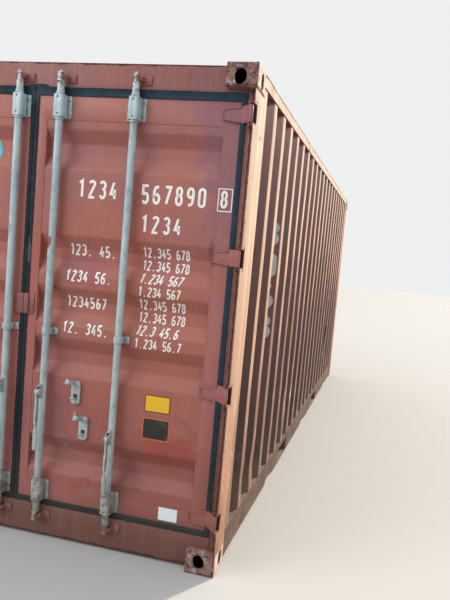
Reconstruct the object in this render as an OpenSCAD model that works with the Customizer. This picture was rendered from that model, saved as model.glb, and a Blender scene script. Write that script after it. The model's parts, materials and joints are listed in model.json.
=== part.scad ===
// Twenty-foot dry freight container, end doors at +X, floor level at Z = 0.
// X runs along the length, Y across the width, Z up. Millimetres.

/* [Overall] */
// Length over the corner castings
box_l = 6058; // [5500:1:6600]
// Width over the corner castings
box_w = 2438; // [2300:1:2600]
// Height over the corner castings
box_h = 2591; // [2438:1:2896]

/* [Corner castings] */
// Length of a casting
cast_l = 178; // [170:1:200]
// Width of a casting
cast_w = 162; // [155:1:180]
// Height of a casting
cast_h = 118; // [114:1:140]
// Thickness of the outer walls
cast_wall = 28; // [20:0.5:32]
// Thickness of the inner walls
cast_back = 12; // [8:0.5:13]
// Radius of the outer upright edge
cast_r = 14; // [4:1:20]
// Length of the twistlock slot
slot_l = 124; // [110:0.5:125]
// Width of the twistlock slot
slot_w = 63.5; // [50:0.5:70]
// Distance of the slot from the end plane
slot_in_x = 102.5; // [101:0.5:104]
// Distance of the slot from the side plane
slot_in_y = 89.5; // [80:0.5:95]
// Width of the hole in the end face
end_hole_w = 63.5; // [40:0.5:65]
// Width of the hole in the side face
side_hole_w = 51; // [40:0.5:60]
// Metal above the holes in the end and side faces
hole_drop = 14; // [10:1:20]

/* [Frame] */
// Setback of posts and rails from the outer planes
set_in = 4; // [2:0.5:8]
// Setback of the roof below the casting tops
roof_drop = 6; // [4:0.5:12]
// Height of the underframe above the casting feet
foot_gap = 12.5; // [8:0.5:20]
// Plate thickness of posts
post_t = 6; // [4:0.5:8]
// Width of the door post seen from the door end
post_w = 46; // [42:1:60]
// Thickness of the inner hinge channel
channel_t = 12; // [8:0.5:14]
// Depth of the front lip of the door post
lip_d = 43; // [38:1:46]
// Width of the front post across the end
front_post_w = 96; // [80:1:120]
// Depth of the front post's end limb
front_post_d = 36; // [30:1:60]
// Size of the square top rails
rail_s = 60; // [50:1:70]
// Wall of the square top rails
rail_t = 3; // [2:0.5:6]
// Height of the bottom side rail
base_rail_h = 158; // [150:1:170]
// Upper flange of the bottom side rail
base_rail_f = 48; // [40:1:60]
// Lower flange of the bottom side rail
base_rail_g = 30; // [20:1:50]
// Plate thickness of the bottom side rail
base_rail_t = 4.5; // [3:0.5:6]

/* [Door opening] */
// Height of the header
header_h = 136; // [120:1:180]
// Height of the sill
sill_h = 169.5; // [160:0.5:180]
// Setback of the header and sill faces
face_in = 54; // [52:0.5:58]
// Depth of the header and the sill
beam_d = 96; // [80:1:120]
// Plate thickness of the header and the sill
beam_t = 4; // [3:0.5:6]

/* [Sheets] */
// Thickness of the wall sheets
sheet_t = 2; // [1.6:0.1:4]
// Pitch of the side wall corrugation
wave_pitch = 278; // [260:1:300]
// Outer flat of the side wall corrugation
wave_flat = 72; // [60:1:90]
// Length of each slope of the side wall corrugation
wave_slope = 68; // [50:1:70]
// Depth of the side wall corrugation
wave_depth = 36; // [25:1:40]
// Least flat beyond the waves at each end of a sheet
wave_end = 60; // [40:1:68]
// Setback of the side wall's outer flats
wall_in = 10; // [8:0.5:14]
// Pitch of the front wall corrugation
front_pitch = 250; // [230:1:270]
// Outer flat of the front wall corrugation
front_flat = 110; // [90:1:120]
// Length of each slope of the front wall corrugation
front_slope = 18; // [12:1:30]
// Depth of the front wall corrugation
front_depth = 45.6; // [30:0.1:48]
// Pitch of the roof corrugation
roof_pitch = 209; // [200:1:230]
// Flat crest of the roof corrugation
roof_flat = 91; // [80:1:100]
// Length of each slope of the roof corrugation
roof_slope = 13.5; // [10:0.5:20]
// Depth of the roof corrugation
roof_depth = 20; // [10:1:24]
// Length of the plate beside each top casting
roof_plate_l = 230; // [150:1:300]
// Width of the plate beside each top casting
roof_plate_w = 180; // [150:1:200]
// Thickness of the plate beside each top casting
roof_plate_t = 3; // [2:0.5:5]

/* [Floor] */
// Thickness of the plywood
ply_t = 28; // [25:1:32]
// Height of the plywood's top
ply_top = 178; // [175:1:180]
// Setback of the plywood from the side plane
ply_in = 66; // [64:1:80]
// Joint between boards
ply_gap = 3; // [2:0.5:6]
// Rows of boards along the length
ply_rows = 5; // [4:1:6]
// Height of a cross member
cross_h = 122; // [100:1:130]
// Flange of a cross member
cross_f = 45; // [35:1:50]
// Plate thickness of a cross member
cross_t = 4; // [3:0.5:6]
// Spacing of cross members between the pockets
cross_mid = 290; // [240:1:300]
// Spacing of cross members outside the pockets
cross_out = 300; // [260:1:310]
// Distance from a pocket's edge to the first cross member outside it
cross_gap = 285; // [250:1:300]
// Distance between the fork pocket centres
pocket_span = 2050; // [2000:1:2100]
// Clear width of a fork pocket
pocket_w = 360; // [340:1:380]
// Clear height of a fork pocket
pocket_h = 109; // [100:1:110]
// Plate thickness of a fork pocket
pocket_t = 6; // [4:0.5:8]
// Length of the plate under each pocket mouth
pocket_strap = 200; // [150:1:300]

/* [Doors] */
// Setback of the door face from the end plane
leaf_in = 60; // [58:0.5:62]
// Thickness of a door leaf
leaf_t = 50; // [45:1:60]
// Gap between the steel of a leaf and the opening
leaf_gap = 16; // [12:1:24]
// Gap between the seals and the opening
seal_gap = 3; // [2:0.5:5]
// Half gap between the two leaves' seals
seal_mid = 1; // [1:0.5:3]
// Half gap between the steel of the two leaves
leaf_mid = 12; // [10:1:16]
// Width of the seal's flap at the opening
flap_w = 34; // [28:1:40]
// Width of each seal's flap at the middle
flap_mid = 22; // [18:1:28]
// Thickness of the seal's flap
flap_t = 4; // [2:0.5:5]
// Depth of the seal's bulb
bulb_d = 38; // [20:1:44]
// Width of the hinge side stile
stile_w = 100; // [80:1:120]
// Inner edge of the middle stile from the centre plane
mid_stile = 76; // [60:1:90]
// Wall of the stiles and rails
stile_t = 3; // [2:0.5:6]
// Height of the top rail
leaf_head = 142; // [120:1:160]
// Height of the bottom rail
leaf_foot = 102; // [90:1:130]
// Setback of the panel behind the door face
panel_in = 2; // [1:0.5:5]
// Flat of a door panel above its first groove
groove_drop = 44; // [36:1:60]
// Middle height of the overlap plate
lap_z = 1300; // [1200:1:1400]
// Height of the overlap plate
lap_h = 112; // [80:1:150]
// Reach of the overlap plate beside the middle
lap_w = 60; // [54:1:66]
// Thickness of the right half's foot
lap_foot_r = 5; // [4:0.5:8]
// Thickness of the left half's foot
lap_foot_l = 14; // [8:0.5:16]

/* [Hinges] */
// Setback of the hinge pins from the end plane
pin_in_x = 20; // [19:0.5:21]
// Setback of the hinge pins from the side plane
pin_in_y = 24; // [23:0.5:26]
// Radius of a hinge pin
pin_r = 7; // [5:0.5:8]
// Radius of the knuckle
knuckle_r = 11; // [10:0.5:12]
// Running clearance of pins
pin_fit = 0.05; // [0.02:0.01:0.1]
// Height of a hinge blade at the pin
blade_h = 86; // [76:1:110]
// Height of a hinge blade at its tip
blade_tip_h = 54; // [40:1:70]
// Length of a hinge blade from the side plane
blade_l = 174; // [165:1:220]
// Thickness of a hinge blade
blade_t = 10; // [8:0.5:12]
// Clearance above and below a blade
blade_gap = 3; // [2:0.5:5]
// Room behind the lip for a blade that is swung right back
swing_gap = 6; // [5:0.5:7]
// Height of the lowest hinge above the leaf's foot
hinge_low = 86; // [70:1:120]
// Depth of the highest hinge below the leaf's head
hinge_high = 81; // [70:1:120]
// Depth of the rib round a blade's face
blade_rib = 4; // [2:0.5:6]
// Width of the rib round a blade's face
blade_rib_w = 9; // [6:0.5:14]
// Thickness of a hinge lug
lug_t = 14; // [10:1:20]
// Metal round the pin of a hinge lug
lug_rim = 13; // [12:0.5:14]
// Length of a pin beyond its lugs
pin_end = 6; // [2:0.5:10]

/* [Locking gear] */
// Setback of the rod axes from the end plane
rod_in = 26; // [25:0.5:27]
// Radius of a lock rod
rod_r = 19; // [16:0.5:19.5]
// Running clearance of a rod in its brackets
rod_fit = 0.5; // [0.3:0.1:0.8]
// Radius over a cam's flanges
cam_r = 25; // [22:0.5:25]
// Reach of a cam's nose
nose_r = 24; // [22:0.5:24.5]
// Width of a cam's nose
nose_w = 18; // [14:0.5:20]
// Radius of a cam's neck
neck_r = 18; // [14:0.5:19]
// Radius of a cam's core
core_r = 12; // [9:0.5:13]
// Radius of the stub on the end of a cam
stub_r = 9; // [6:0.5:12]
// Length of the stub on the end of a cam
stub_l = 12; // [6:1:16]
// Height of a cam's nose
nose_h = 32; // [28:1:36]
// Thickness of a cam's flanges
cam_t = 7; // [5:0.5:9]
// Length of a cam's neck
neck_l = 38; // [30:1:44]
// Height of a keeper's lip
lip_h = 22; // [16:1:24]
// Thickness of a keeper's lip
lip_t = 5; // [4:0.5:6]
// Thickness of a keeper's leg
keeper_leg = 8; // [6:0.5:10]
// Side of a keeper's square base
keeper_base = 46; // [36:1:56]
// Thickness of a keeper's base
keeper_t = 6; // [4:0.5:8]
// Gap between a nose and its keeper
keeper_gap = 2; // [1.5:0.5:3]
// Plate thickness of a bracket
bracket_t = 5; // [4:0.5:6]
// Height of a bearing bracket
bearing_h = 116; // [90:1:124]
// Distance of a bearing bracket's middle from the leaf's end
bearing_in = 78; // [70:1:100]
// Width of a bearing bracket's cover
cover_w = 58; // [52:1:64]
// Reach of a cover in front of the rod axis
cover_reach = 24; // [22:0.5:25]
// Radius of a cover's shoulders
cover_r = 14; // [8:0.5:18]
// Height of the bush at each end of a cover
bush_h = 20; // [12:1:30]
// Radius of the holes in a cover
cover_hole_r = 4; // [3:0.5:5]
// Distance of a cover's holes from its middle
cover_hole_z = 42; // [36:1:46]
// Radius of a bracket's corners
plate_r = 9; // [4:0.5:14]
// Height of a guide strap
guide_h = 38; // [30:1:50]
// Half width of a bracket
bracket_w = 52; // [44:1:54]
// Reach of a guide strap's short foot
guide_foot = 34; // [30:1:50]
// Radius of a rod's collars
collar_r = 23; // [21:0.5:24]
// Height of a rod's collars
collar_h = 12; // [8:1:20]
// Height of the shoulder between a bearing and a cam
shoulder_h = 20; // [10:1:24]
// Pivot distance of a handle from the rod axis
hub_r = 52; // [48:1:56]
// Thickness of a hub's cheeks
cheek_t = 5; // [4:0.5:6]
// Height of a hub's cheeks at the rod
cheek_h = 70; // [60:1:90]
// Gap between a handle and a cheek
cheek_gap = 1; // [0.5:0.25:2]
// Radius of a handle's pivot pin
rivet_r = 6; // [4:0.5:7]
// Thickness of a handle over its rims
handle_t = 10; // [8:0.5:12]
// Width of a handle
handle_w = 30; // [24:1:34]
// Length of a handle below its pivot
handle_l = 322; // [300:1:330]
// Distance from the pivot to a handle's twist
twist_at = 164; // [150:1:180]
// Length of a handle's twist
twist_l = 60; // [50:1:70]
// Thickness of a handle's grip
grip_t = 8; // [6:0.5:10]
// Plate thickness and rim width of a handle
rim_t = 4; // [3:0.5:5]
// Distance of a handle retainer from the rod axis
retainer_off = 182; // [170:1:200]
// Width of a handle retainer
retainer_w = 52; // [44:1:58]
// Depth of a handle retainer
retainer_d = 12; // [8:0.5:16]
// Top of a handle retainer above its handle
retainer_top = 72; // [66:1:80]
// Foot of a handle retainer below its handle
retainer_foot = 56; // [50:1:70]
// Width of the tongue that carries a raised handle
tongue_w = 20; // [14:1:26]
// Height of the window behind the tongue
window_h = 24; // [16:1:28]
// Gap between a raised handle and the tongue
rest_gap = 5; // [4:0.5:6]
// Height of a catch's pivot above its handle
catch_up = 57; // [54:1:62]
// Offset of a catch's pivot from the middle of its retainer
catch_side = 14; // [8:1:16]
// Height of a catch
catch_h = 24; // [18:1:26]
// Length of a catch
catch_l = 58; // [50:1:60]
// Thickness of a catch
catch_t = 5; // [4:0.5:6]
// Radius of the rivet a catch swings on
catch_pin_r = 5; // [4:0.5:7]
// Drop of the hooked end of a catch
catch_lip = 7; // [0:1:8]
// Rise of a resting catch
catch_rise = 20; // [10:1:25]

/* [Hidden] */
$fn = 48;
eps = 0.01;
red = "#8c4a40";
rust = "#5e3a2e";
grey = "#9db0b4";
black = "#27353c";
wood = "#8a6a45";

end_x = box_l / 2;
side_y = box_w / 2;
frame_top = box_h - roof_drop;
cast_floor = cast_h - cast_wall;
hole_h = cast_floor - hole_drop;
post_z0 = cast_h;
post_z1 = box_h - cast_h;
post_in = set_in + post_w;
lip_x = set_in + lip_d;
rail_base = frame_top - rail_s;
base_top = foot_gap + base_rail_h;
bed_x1 = end_x - face_in - beam_d - 2;
bed_x0 = -end_x + wall_in + front_depth + sheet_t + 2.4;
open_top = frame_top - header_h;
open_base = foot_gap + sill_h;
leaf_z0 = open_base + leaf_gap;
leaf_z1 = open_top - leaf_gap;
panel_top = leaf_z1 - leaf_head;
panel_base = leaf_z0 + leaf_foot;
groove_top = panel_top - groove_drop;
hinge_span = leaf_z1 - hinge_high - leaf_z0 - hinge_low;
hinge_z = [for (share = [0, 0.3245, 0.6605, 1]) leaf_z0 + hinge_low + share * hinge_span];
door_pin = [end_x - pin_in_x, side_y - pin_in_y];
leaf_out = side_y - post_in - leaf_gap;
seal_out = side_y - post_in - seal_gap;
face_x = end_x - leaf_in;
rod_x = end_x - rod_in;
rod_y = [-500, -78, 164, 586];
hub_z = [647, 838, 838, 647];
lock_to = [1, -1, 1, -1];
bearing_z = [leaf_z0 + bearing_in, leaf_z1 - bearing_in];
guide_z = 1169;
cam_z0 = leaf_z0 - 4;
cam_z1 = leaf_z1 + 7;
handle_waist = [[0, 0], [40, 4], [70, 5], [110, 0], [twist_at, 3]];
groove_at = [for (g = [0, 2, 3, 4, 6]) if (groove_top - (g + 1) * wave_pitch + wave_flat > panel_base) g];
plate_front = face_x - panel_in + retainer_d;
gear_front = end_x - 10;

// Puts a shape at all four corners of the plan, given for the +X +Y corner
module corners() {
    for (x = [0, 1]) {
        for (y = [0, 1]) {
            mirror([x, 0, 0]) mirror([0, y, 0]) children();
        }
    }
}

// Puts a shape on both sides, given for +Y
module sides() {
    for (y = [0, 1]) {
        mirror([0, y, 0]) children();
    }
}

// Slot outline with round ends, along X
module slot(l, w) {
    square([l - w, w], center = true);
    for (s = [-1, 1]) {
        translate([s * (l - w) / 2, 0]) circle(r = w / 2);
    }
}

// One corner casting, outer corner at the origin, growing inward and up
module casting() {
    difference() {
        linear_extrude(cast_h) {
            translate([cast_r, 0]) square([cast_l - cast_r, cast_w]);
            translate([0, cast_r]) square([cast_l, cast_w - cast_r]);
            translate([cast_r, cast_r]) circle(r = cast_r);
        }
        translate([cast_wall, cast_wall, cast_wall])
            cube([cast_l - cast_wall - cast_back, cast_w - cast_wall - cast_back, hole_h]);
        translate([slot_in_x, slot_in_y, -eps]) linear_extrude(cast_wall + 1) slot(slot_l, slot_w);
        translate([-eps, slot_in_y, cast_wall + hole_h / 2]) rotate([90, 0, 90])
            linear_extrude(cast_wall + 1) rotate(90) slot(hole_h, end_hole_w);
        translate([slot_in_x, cast_wall + 1, cast_wall + hole_h / 2]) rotate([90, 0, 0])
            linear_extrude(cast_wall + 1 + eps) rotate(90) slot(hole_h, side_hole_w);
    }
}

module corner_casting() {
    translate([end_x, side_y, 0]) mirror([1, 0, 0]) mirror([0, 1, 0]) casting();
}

module top_corner_castings() {
    color(rust) corners() translate([0, 0, box_h]) mirror([0, 0, 1]) corner_casting();
}

module bottom_corner_castings() {
    color(rust) corners() corner_casting();
}

// Rectangle in plan given by setbacks from the door end and side planes
module inset(x0, x1, y0, y1) {
    translate([end_x - x1, side_y - y1]) square([x1 - x0, y1 - y0]);
}

// Door post: outer pressing with a front lip, closed by a thick hinge channel
module door_post() {
    difference() {
        translate([0, 0, post_z0]) linear_extrude(post_z1 - post_z0) {
            inset(set_in, cast_l, set_in, set_in + post_t);
            inset(cast_l - post_t, cast_l, set_in, post_in);
            inset(lip_x, cast_l, post_in - channel_t, post_in);
            inset(lip_x, lip_x + channel_t, set_in, post_in);
        }
        for (z = hinge_z) {
            translate([0, 0, z - blade_h / 2 - blade_gap]) linear_extrude(blade_h + 2 * blade_gap) {
                inset(0, lip_x, 0, post_in);
                inset(0, lip_x + swing_gap, 0, pin_in_y);
            }
        }
    }
}

module door_post_right() {
    color(red) door_post();
}

module door_post_left() {
    color(red) mirror([0, 1, 0]) door_post();
}

// Hinge lugs with the pin between them, welded into the angle behind the lip
module hinge_set() {
    lug_z = blade_h / 2 + blade_gap;
    wing = 10;
    for (s = [-1, 1]) {
        translate([0, 0, s > 0 ? lug_z : -lug_z - lug_t]) linear_extrude(lug_t) {
            translate(door_pin) circle(r = lug_rim);
            inset(pin_in_x, lip_x, set_in + post_t, pin_in_y + lug_rim);
            inset(pin_in_x - wing, pin_in_x, set_in + post_t, pin_in_y);
        }
    }
    translate([door_pin[0], door_pin[1], -lug_z - lug_t - pin_end])
        cylinder(r = pin_r, h = 2 * (lug_z + lug_t + pin_end));
}

module hinge_lugs() {
    color(red) sides() {
        for (z = hinge_z) {
            translate([0, 0, z]) hinge_set();
        }
    }
}

// Front post: hollow angle section
module front_posts() {
    out = set_in;
    color(red) sides() mirror([1, 0, 0]) translate([0, 0, post_z0]) linear_extrude(post_z1 - post_z0) {
        difference() {
            union() {
                inset(out, out + front_post_d, out, out + front_post_w);
                inset(out, cast_l, out, out + front_post_d);
            }
            inset(out + post_t, out + front_post_d - post_t, out + post_t, out + front_post_w - post_t);
            inset(out + post_t, cast_l - post_t, out + post_t, out + front_post_d - post_t);
        }
    }
}

// Hollow beam across the door end, cut to fit round the castings
module door_beam(z0, z1, cast_z0, cast_z1) {
    difference() {
        translate([end_x - face_in - beam_d, post_in - side_y, z0])
            cube([beam_d, 2 * (side_y - post_in), z1 - z0]);
        translate([end_x - face_in - beam_d + beam_t, -side_y, z0 + beam_t])
            cube([beam_d - 2 * beam_t, box_w, z1 - z0 - 2 * beam_t]);
        sides() translate([0, side_y - cast_w, cast_z0]) cube([end_x, cast_w, cast_z1 - cast_z0]);
    }
}

module door_header() {
    color(red) door_beam(open_top, frame_top, post_z1, box_h);
}

module door_sill() {
    color(red) door_beam(foot_gap, open_base, 0, post_z0);
}

// Keeper for a cam: leg and curved lip beside the nose, and a base on the beam
module keeper() {
    back = face_in - rod_in;
    lip_in = nose_r + keeper_gap;
    leg = lip_in + keeper_gap;
    reach = 2 * nose_r;
    translate([0, 0, -lip_h / 2]) linear_extrude(lip_h) {
        translate([-back, leg]) square([back + nose_r / 2, keeper_leg]);
        intersection() {
            difference() {
                circle(r = lip_in + lip_t);
                circle(r = lip_in);
            }
            polygon([[nose_r / 2, lip_in / 2], [reach, 0.75 * reach], [reach / 2, 1.25 * reach],
                [2, 1.25 * reach], [2, lip_in]]);
        }
    }
    translate([-back, leg, -keeper_base / 2]) cube([keeper_t, keeper_base, keeper_base]);
}

module cam_keepers() {
    nose_mid = neck_l + cam_t + nose_h / 2;
    color(red) for (i = [0:3]) {
        translate([rod_x, rod_y[i], cam_z1 + nose_mid]) keeper();
        translate([rod_x, rod_y[i], cam_z0 - nose_mid]) keeper();
    }
}

// Square tube along X
module top_rail(l) {
    difference() {
        translate([-l / 2, 0, 0]) cube([l, rail_s, rail_s]);
        translate([-l / 2 - 1, rail_t, rail_t]) cube([l + 2, rail_s - 2 * rail_t, rail_s - 2 * rail_t]);
    }
}

module top_side_rails() {
    color(red) sides() translate([0, side_y - set_in - rail_s, rail_base]) top_rail(box_l - 2 * cast_l);
}

module front_top_rail() {
    color(red) translate([-end_x + set_in, 0, rail_base]) rotate([0, 0, -90])
        top_rail(box_w - 2 * cast_w);
}

// Pressed channel along the front end's foot
module front_bottom_rail() {
    web = wall_in;
    color(red) difference() {
        translate([-end_x + web, set_in + front_post_w - side_y, foot_gap])
            cube([base_rail_f, 2 * (side_y - set_in - front_post_w), base_rail_h]);
        translate([-end_x + web + beam_t, -side_y, foot_gap + beam_t])
            cube([base_rail_f, box_w, base_rail_h - 2 * beam_t]);
        sides() translate([-end_x, side_y - cast_w, 0]) cube([cast_l, cast_w, cast_h]);
    }
}

// Channel rails along both feet, cut for the fork pockets
module bottom_side_rails() {
    l = box_l - 2 * cast_l;
    t = base_rail_t;
    y = side_y - wall_in;
    color(red) sides() difference() {
        translate([-l / 2, 0, foot_gap]) {
            translate([0, y - t, 0]) cube([l, t, base_rail_h]);
            translate([0, y - base_rail_f, base_rail_h - t]) cube([l, base_rail_f, t]);
            translate([0, y - base_rail_g, 0]) cube([l, base_rail_g, t]);
        }
        for (s = [-1, 1]) {
            translate([s * pocket_span / 2 - pocket_w / 2, y - t - 1, foot_gap + pocket_t])
                cube([pocket_w, t + 2, pocket_h]);
        }
    }
}

// Tunnel for fork tines, open below between its two mouths
module fork_pockets() {
    w = pocket_w + 2 * pocket_t;
    half = side_y - wall_in - base_rail_t;
    under = base_rail_g;
    color(red) for (s = [-1, 1]) {
        translate([s * pocket_span / 2 - w / 2, -half, foot_gap]) difference() {
            cube([w, 2 * half, pocket_h + 2 * pocket_t]);
            translate([pocket_t, -1, pocket_t]) cube([pocket_w, 2 * half + 2, pocket_h]);
            translate([pocket_t, pocket_strap, -1])
                cube([pocket_w, 2 * (half - pocket_strap), pocket_t + 2]);
            for (y = [-1, 2 * half - under + 1]) {
                translate([-1, y, -1]) cube([w + 2, under, base_rail_t + 1 + eps]);
            }
        }
    }
}

// Channel from side rail to side rail
module cross_member() {
    half = side_y - wall_in - base_rail_t;
    translate([-cross_f / 2, -half, ply_top - ply_t - cross_h]) difference() {
        cube([cross_f, 2 * half, cross_h]);
        translate([cross_t, -1, cross_t]) cube([cross_f, 2 * half + 2, cross_h - 2 * cross_t]);
    }
}

module cross_members() {
    edge = (pocket_span + pocket_w) / 2 + cross_gap;
    last = floor((end_x - cast_l - cross_f - edge) / cross_out);
    color(red) {
        for (i = [-2:2]) {
            translate([i * cross_mid, 0, 0]) cross_member();
        }
        for (i = [0:last]) {
            for (s = [0, 1]) {
                mirror([s, 0, 0]) translate([edge + i * cross_out, 0, 0]) cross_member();
            }
        }
    }
}

// Room that the four top castings take
module top_casting_room() {
    corners() translate([end_x - cast_l, side_y - cast_w, post_z1]) cube([cast_l, cast_w, cast_h]);
}

// Waves of a pitch that fit on a sheet of length l
function waves(l, pitch) = floor((l - 2 * wave_end) / pitch);

// Points of a corrugated line: n waves from x = 0, crest at y = 0, troughs at y = -depth
function wave_line(n, pitch, flat, slope, depth, y) = [
    for (i = [0:n - 1]) each [
        [i * pitch + flat / 2, y],
        [i * pitch + flat / 2 + slope, y - depth],
        [(i + 1) * pitch - flat / 2 - slope, y - depth],
        [(i + 1) * pitch - flat / 2, y]
    ]
];

function backward(list) = [for (i = [len(list) - 1:-1:0]) list[i]];

// Corrugated sheet in plan, centred on x = 0 with straight ends to the length l
module wave_sheet(l, pitch, flat, slope, depth) {
    n = waves(l, pitch);
    x0 = -n * pitch / 2;
    front = [for (p = wave_line(n, pitch, flat, slope, depth, 0)) [p[0] + x0, p[1]]];
    back = [for (p = backward(front)) [p[0], p[1] - sheet_t]];
    polygon(concat([[-l / 2, 0]], front, [[l / 2, 0], [l / 2, -sheet_t]], back, [[-l / 2, -sheet_t]]));
}

module side_wall() {
    translate([0, side_y - wall_in, base_top]) linear_extrude(rail_base - base_top)
        wave_sheet(box_l - 2 * cast_l, wave_pitch, wave_flat, wave_slope, wave_depth);
}

module side_wall_right() {
    color(red) side_wall();
}

module side_wall_left() {
    color(red) mirror([0, 1, 0]) side_wall();
}

module front_wall() {
    span = 2 * (side_y - set_in - front_post_w);
    color(red) difference() {
        translate([-end_x + wall_in, 0, base_top]) rotate([0, 0, 90]) linear_extrude(rail_base - base_top)
            wave_sheet(span, front_pitch, front_flat, front_slope, front_depth);
        top_casting_room();
    }
}

module roof_panel() {
    x0 = -end_x + set_in + rail_s;
    x1 = end_x - face_in - beam_d;
    y = side_y - set_in - rail_s;
    color(red) difference() {
        translate([(x0 + x1) / 2, y, frame_top - sheet_t]) rotate([90, 0, 0]) linear_extrude(2 * y)
            wave_sheet(x1 - x0, roof_pitch, roof_flat, roof_slope, roof_depth);
        top_casting_room();
    }
}

// Plates that shield the roof beside the top castings
module roof_corner_plates() {
    color(red) corners()
        translate([end_x - cast_l - roof_plate_l, side_y - set_in - roof_plate_w, frame_top])
        cube([roof_plate_l, roof_plate_w, roof_plate_t]);
}

module floor_boards() {
    l = (bed_x1 - bed_x0) / ply_rows;
    half = side_y - ply_in;
    color(wood) sides() {
        for (i = [0:ply_rows - 1]) {
            translate([bed_x0 + i * l + ply_gap / 2, ply_gap / 2, ply_top - ply_t])
                cube([l - ply_gap, half - ply_gap / 2, ply_t]);
        }
    }
}

// Upright tube of a door leaf between two distances from the middle
module stile(y0, y1) {
    translate([0, 0, leaf_z0]) linear_extrude(leaf_z1 - leaf_z0) difference() {
        translate([face_x - leaf_t, y0]) square([leaf_t, y1 - y0]);
        translate([face_x - leaf_t + stile_t, y0 + stile_t])
            square([leaf_t - 2 * stile_t, y1 - y0 - 2 * stile_t]);
    }
}

// Channel across a door leaf, open to the inside
module leaf_rail(z0, z1) {
    translate([0, mid_stile, 0]) difference() {
        translate([face_x - leaf_t, 0, z0]) cube([leaf_t, leaf_out - stile_w - mid_stile, z1 - z0]);
        translate([face_x - leaf_t - 1, -1, z0 + stile_t])
            cube([leaf_t + 1 - stile_t, box_w, z1 - z0 - 2 * stile_t]);
    }
}

// Plate over the joint of the doors: a raised tongue and a foot on the stile
module lap_plate(foot) {
    riser_t = 4;
    clear = seal_mid + flap_mid + 2;
    front = face_x + flap_t + 5;
    translate([0, 0, lap_z - lap_h / 2]) linear_extrude(lap_h) {
        translate([front, seal_mid]) square([bracket_t, clear + riser_t - seal_mid]);
        translate([face_x, clear]) square([front + bracket_t - face_x, riser_t]);
        translate([face_x, clear + riser_t]) square([foot, lap_w - clear - riser_t]);
    }
}

module leaf_frame(foot) {
    stile(leaf_mid, mid_stile);
    stile(leaf_out - stile_w, leaf_out);
    leaf_rail(leaf_z0, panel_base);
    leaf_rail(panel_top, leaf_z1);
    lap_plate(foot);
}

// Door panel with level grooves, the waves standing at every step in groove_at
module leaf_panel() {
    x = face_x - panel_in;
    points = [for (g = backward(groove_at)) let (z = groove_top - g * wave_pitch) each [
        [x, z - wave_pitch + wave_flat],
        [x - wave_depth, z - wave_pitch + wave_flat + wave_slope],
        [x - wave_depth, z - wave_slope],
        [x, z]
    ]];
    back = [for (p = backward(points)) [p[0] - sheet_t, p[1]]];
    translate([0, leaf_out - stile_w, 0]) rotate([90, 0, 0])
        linear_extrude(leaf_out - stile_w - mid_stile)
        polygon(concat([[x, panel_base]], points, [[x, panel_top], [x - sheet_t, panel_top]],
            back, [[x - sheet_t, panel_base]]));
}

// Frame between an outer and an inner rectangle in the door plane
module ring(x0, x1, out, in) {
    translate([x0, 0, 0]) difference() {
        translate([0, out[0], out[2]]) cube([x1 - x0, out[1] - out[0], out[3] - out[2]]);
        translate([-1, in[0], in[2]]) cube([x1 - x0 + 2, in[1] - in[0], in[3] - in[2]]);
    }
}

// Seal: a flap over the leaf's edge and a bulb in the gap, notched for the hinges
module leaf_seal() {
    z0 = open_base + seal_gap;
    z1 = open_top - seal_gap;
    far = side_y - post_in - flap_w;
    bulb_mid = 4.5;
    difference() {
        ring(face_x, face_x + flap_t, [seal_mid, seal_out, z0, z1],
            [seal_mid + flap_mid, far, open_base + flap_w, open_top - flap_w]);
        for (z = hinge_z) {
            translate([face_x - 1, far - 1, z - blade_h / 2 - blade_gap])
                cube([flap_t + 2, flap_w + 2, blade_h + 2 * blade_gap]);
        }
    }
    ring(face_x - bulb_d, face_x, [bulb_mid, seal_out, z0, z1],
        [leaf_mid, leaf_out, leaf_z0, leaf_z1]);
}

// Cranked hinge blade with a tapering, ribbed tongue
module blade() {
    tip = side_y - blade_l;
    root = side_y - post_in;
    x = face_x;
    front = x + blade_t;
    pin = door_pin;
    neck = knuckle_r * [0.9, 0.4];
    difference() {
        intersection() {
            translate([0, 0, -blade_h / 2]) linear_extrude(blade_h) {
                translate(pin) circle(r = knuckle_r);
                polygon([
                    [pin[0] + neck[0], pin[1] - neck[1]],
                    [front + blade_rib, root - leaf_gap],
                    [front, root - 1.5 * leaf_gap],
                    [front, tip],
                    [x, tip],
                    [x, root - blade_t],
                    [x + 1.8 * blade_t, root - 2],
                    [pin[0] - neck[0], pin[1] - neck[1]]
                ]);
            }
            blade_face(0);
        }
        translate([pin[0], pin[1], -blade_h]) cylinder(r = pin_r + pin_fit, h = 2 * blade_h);
    }
    translate([front - eps, 0, 0]) intersection() {
        difference() {
            blade_face(0);
            blade_face(blade_rib_w);
        }
        translate([0, tip + blade_rib, -blade_h / 2])
            cube([blade_rib, root - 2 * leaf_gap - tip, blade_h]);
    }
}

// Outline of a blade seen from the front, drawn in by d, as a prism along X
module blade_face(d) {
    tip = side_y - blade_l + d / 2;
    root = side_y - post_in - blade_t;
    h = blade_h / 2 - d;
    k = blade_tip_h / 2 - d;
    rotate([90, 0, 90]) linear_extrude(end_x)
        polygon([[tip, -k], [root, -h], [side_y, -h], [side_y, h], [root, h], [tip, k]]);
}

module leaf_blades() {
    for (z = hinge_z) {
        translate([0, 0, z]) blade();
    }
}

// Rectangle with round corners, centred
module plate(w, h, r) {
    square([w - 2 * r, h], center = true);
    square([w, h - 2 * r], center = true);
    for (y = [-1, 1]) {
        for (z = [-1, 1]) {
            translate([y * (w / 2 - r), z * (h / 2 - r)]) circle(r = r);
        }
    }
}

// Section of a bearing bracket's cover, drawn in by d, open at the door face
module cover_section(d) {
    depth = leaf_in - rod_in;
    half = cover_w / 2 - d;
    front = cover_reach - d;
    r = cover_r - d;
    translate([-depth, -half]) square([depth + front - r, 2 * half]);
    translate([-depth, r - half]) square([depth + front, 2 * (half - r)]);
    for (s = [-1, 1]) {
        translate([front - r, s * (half - r)]) circle(r = r);
    }
}

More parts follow.
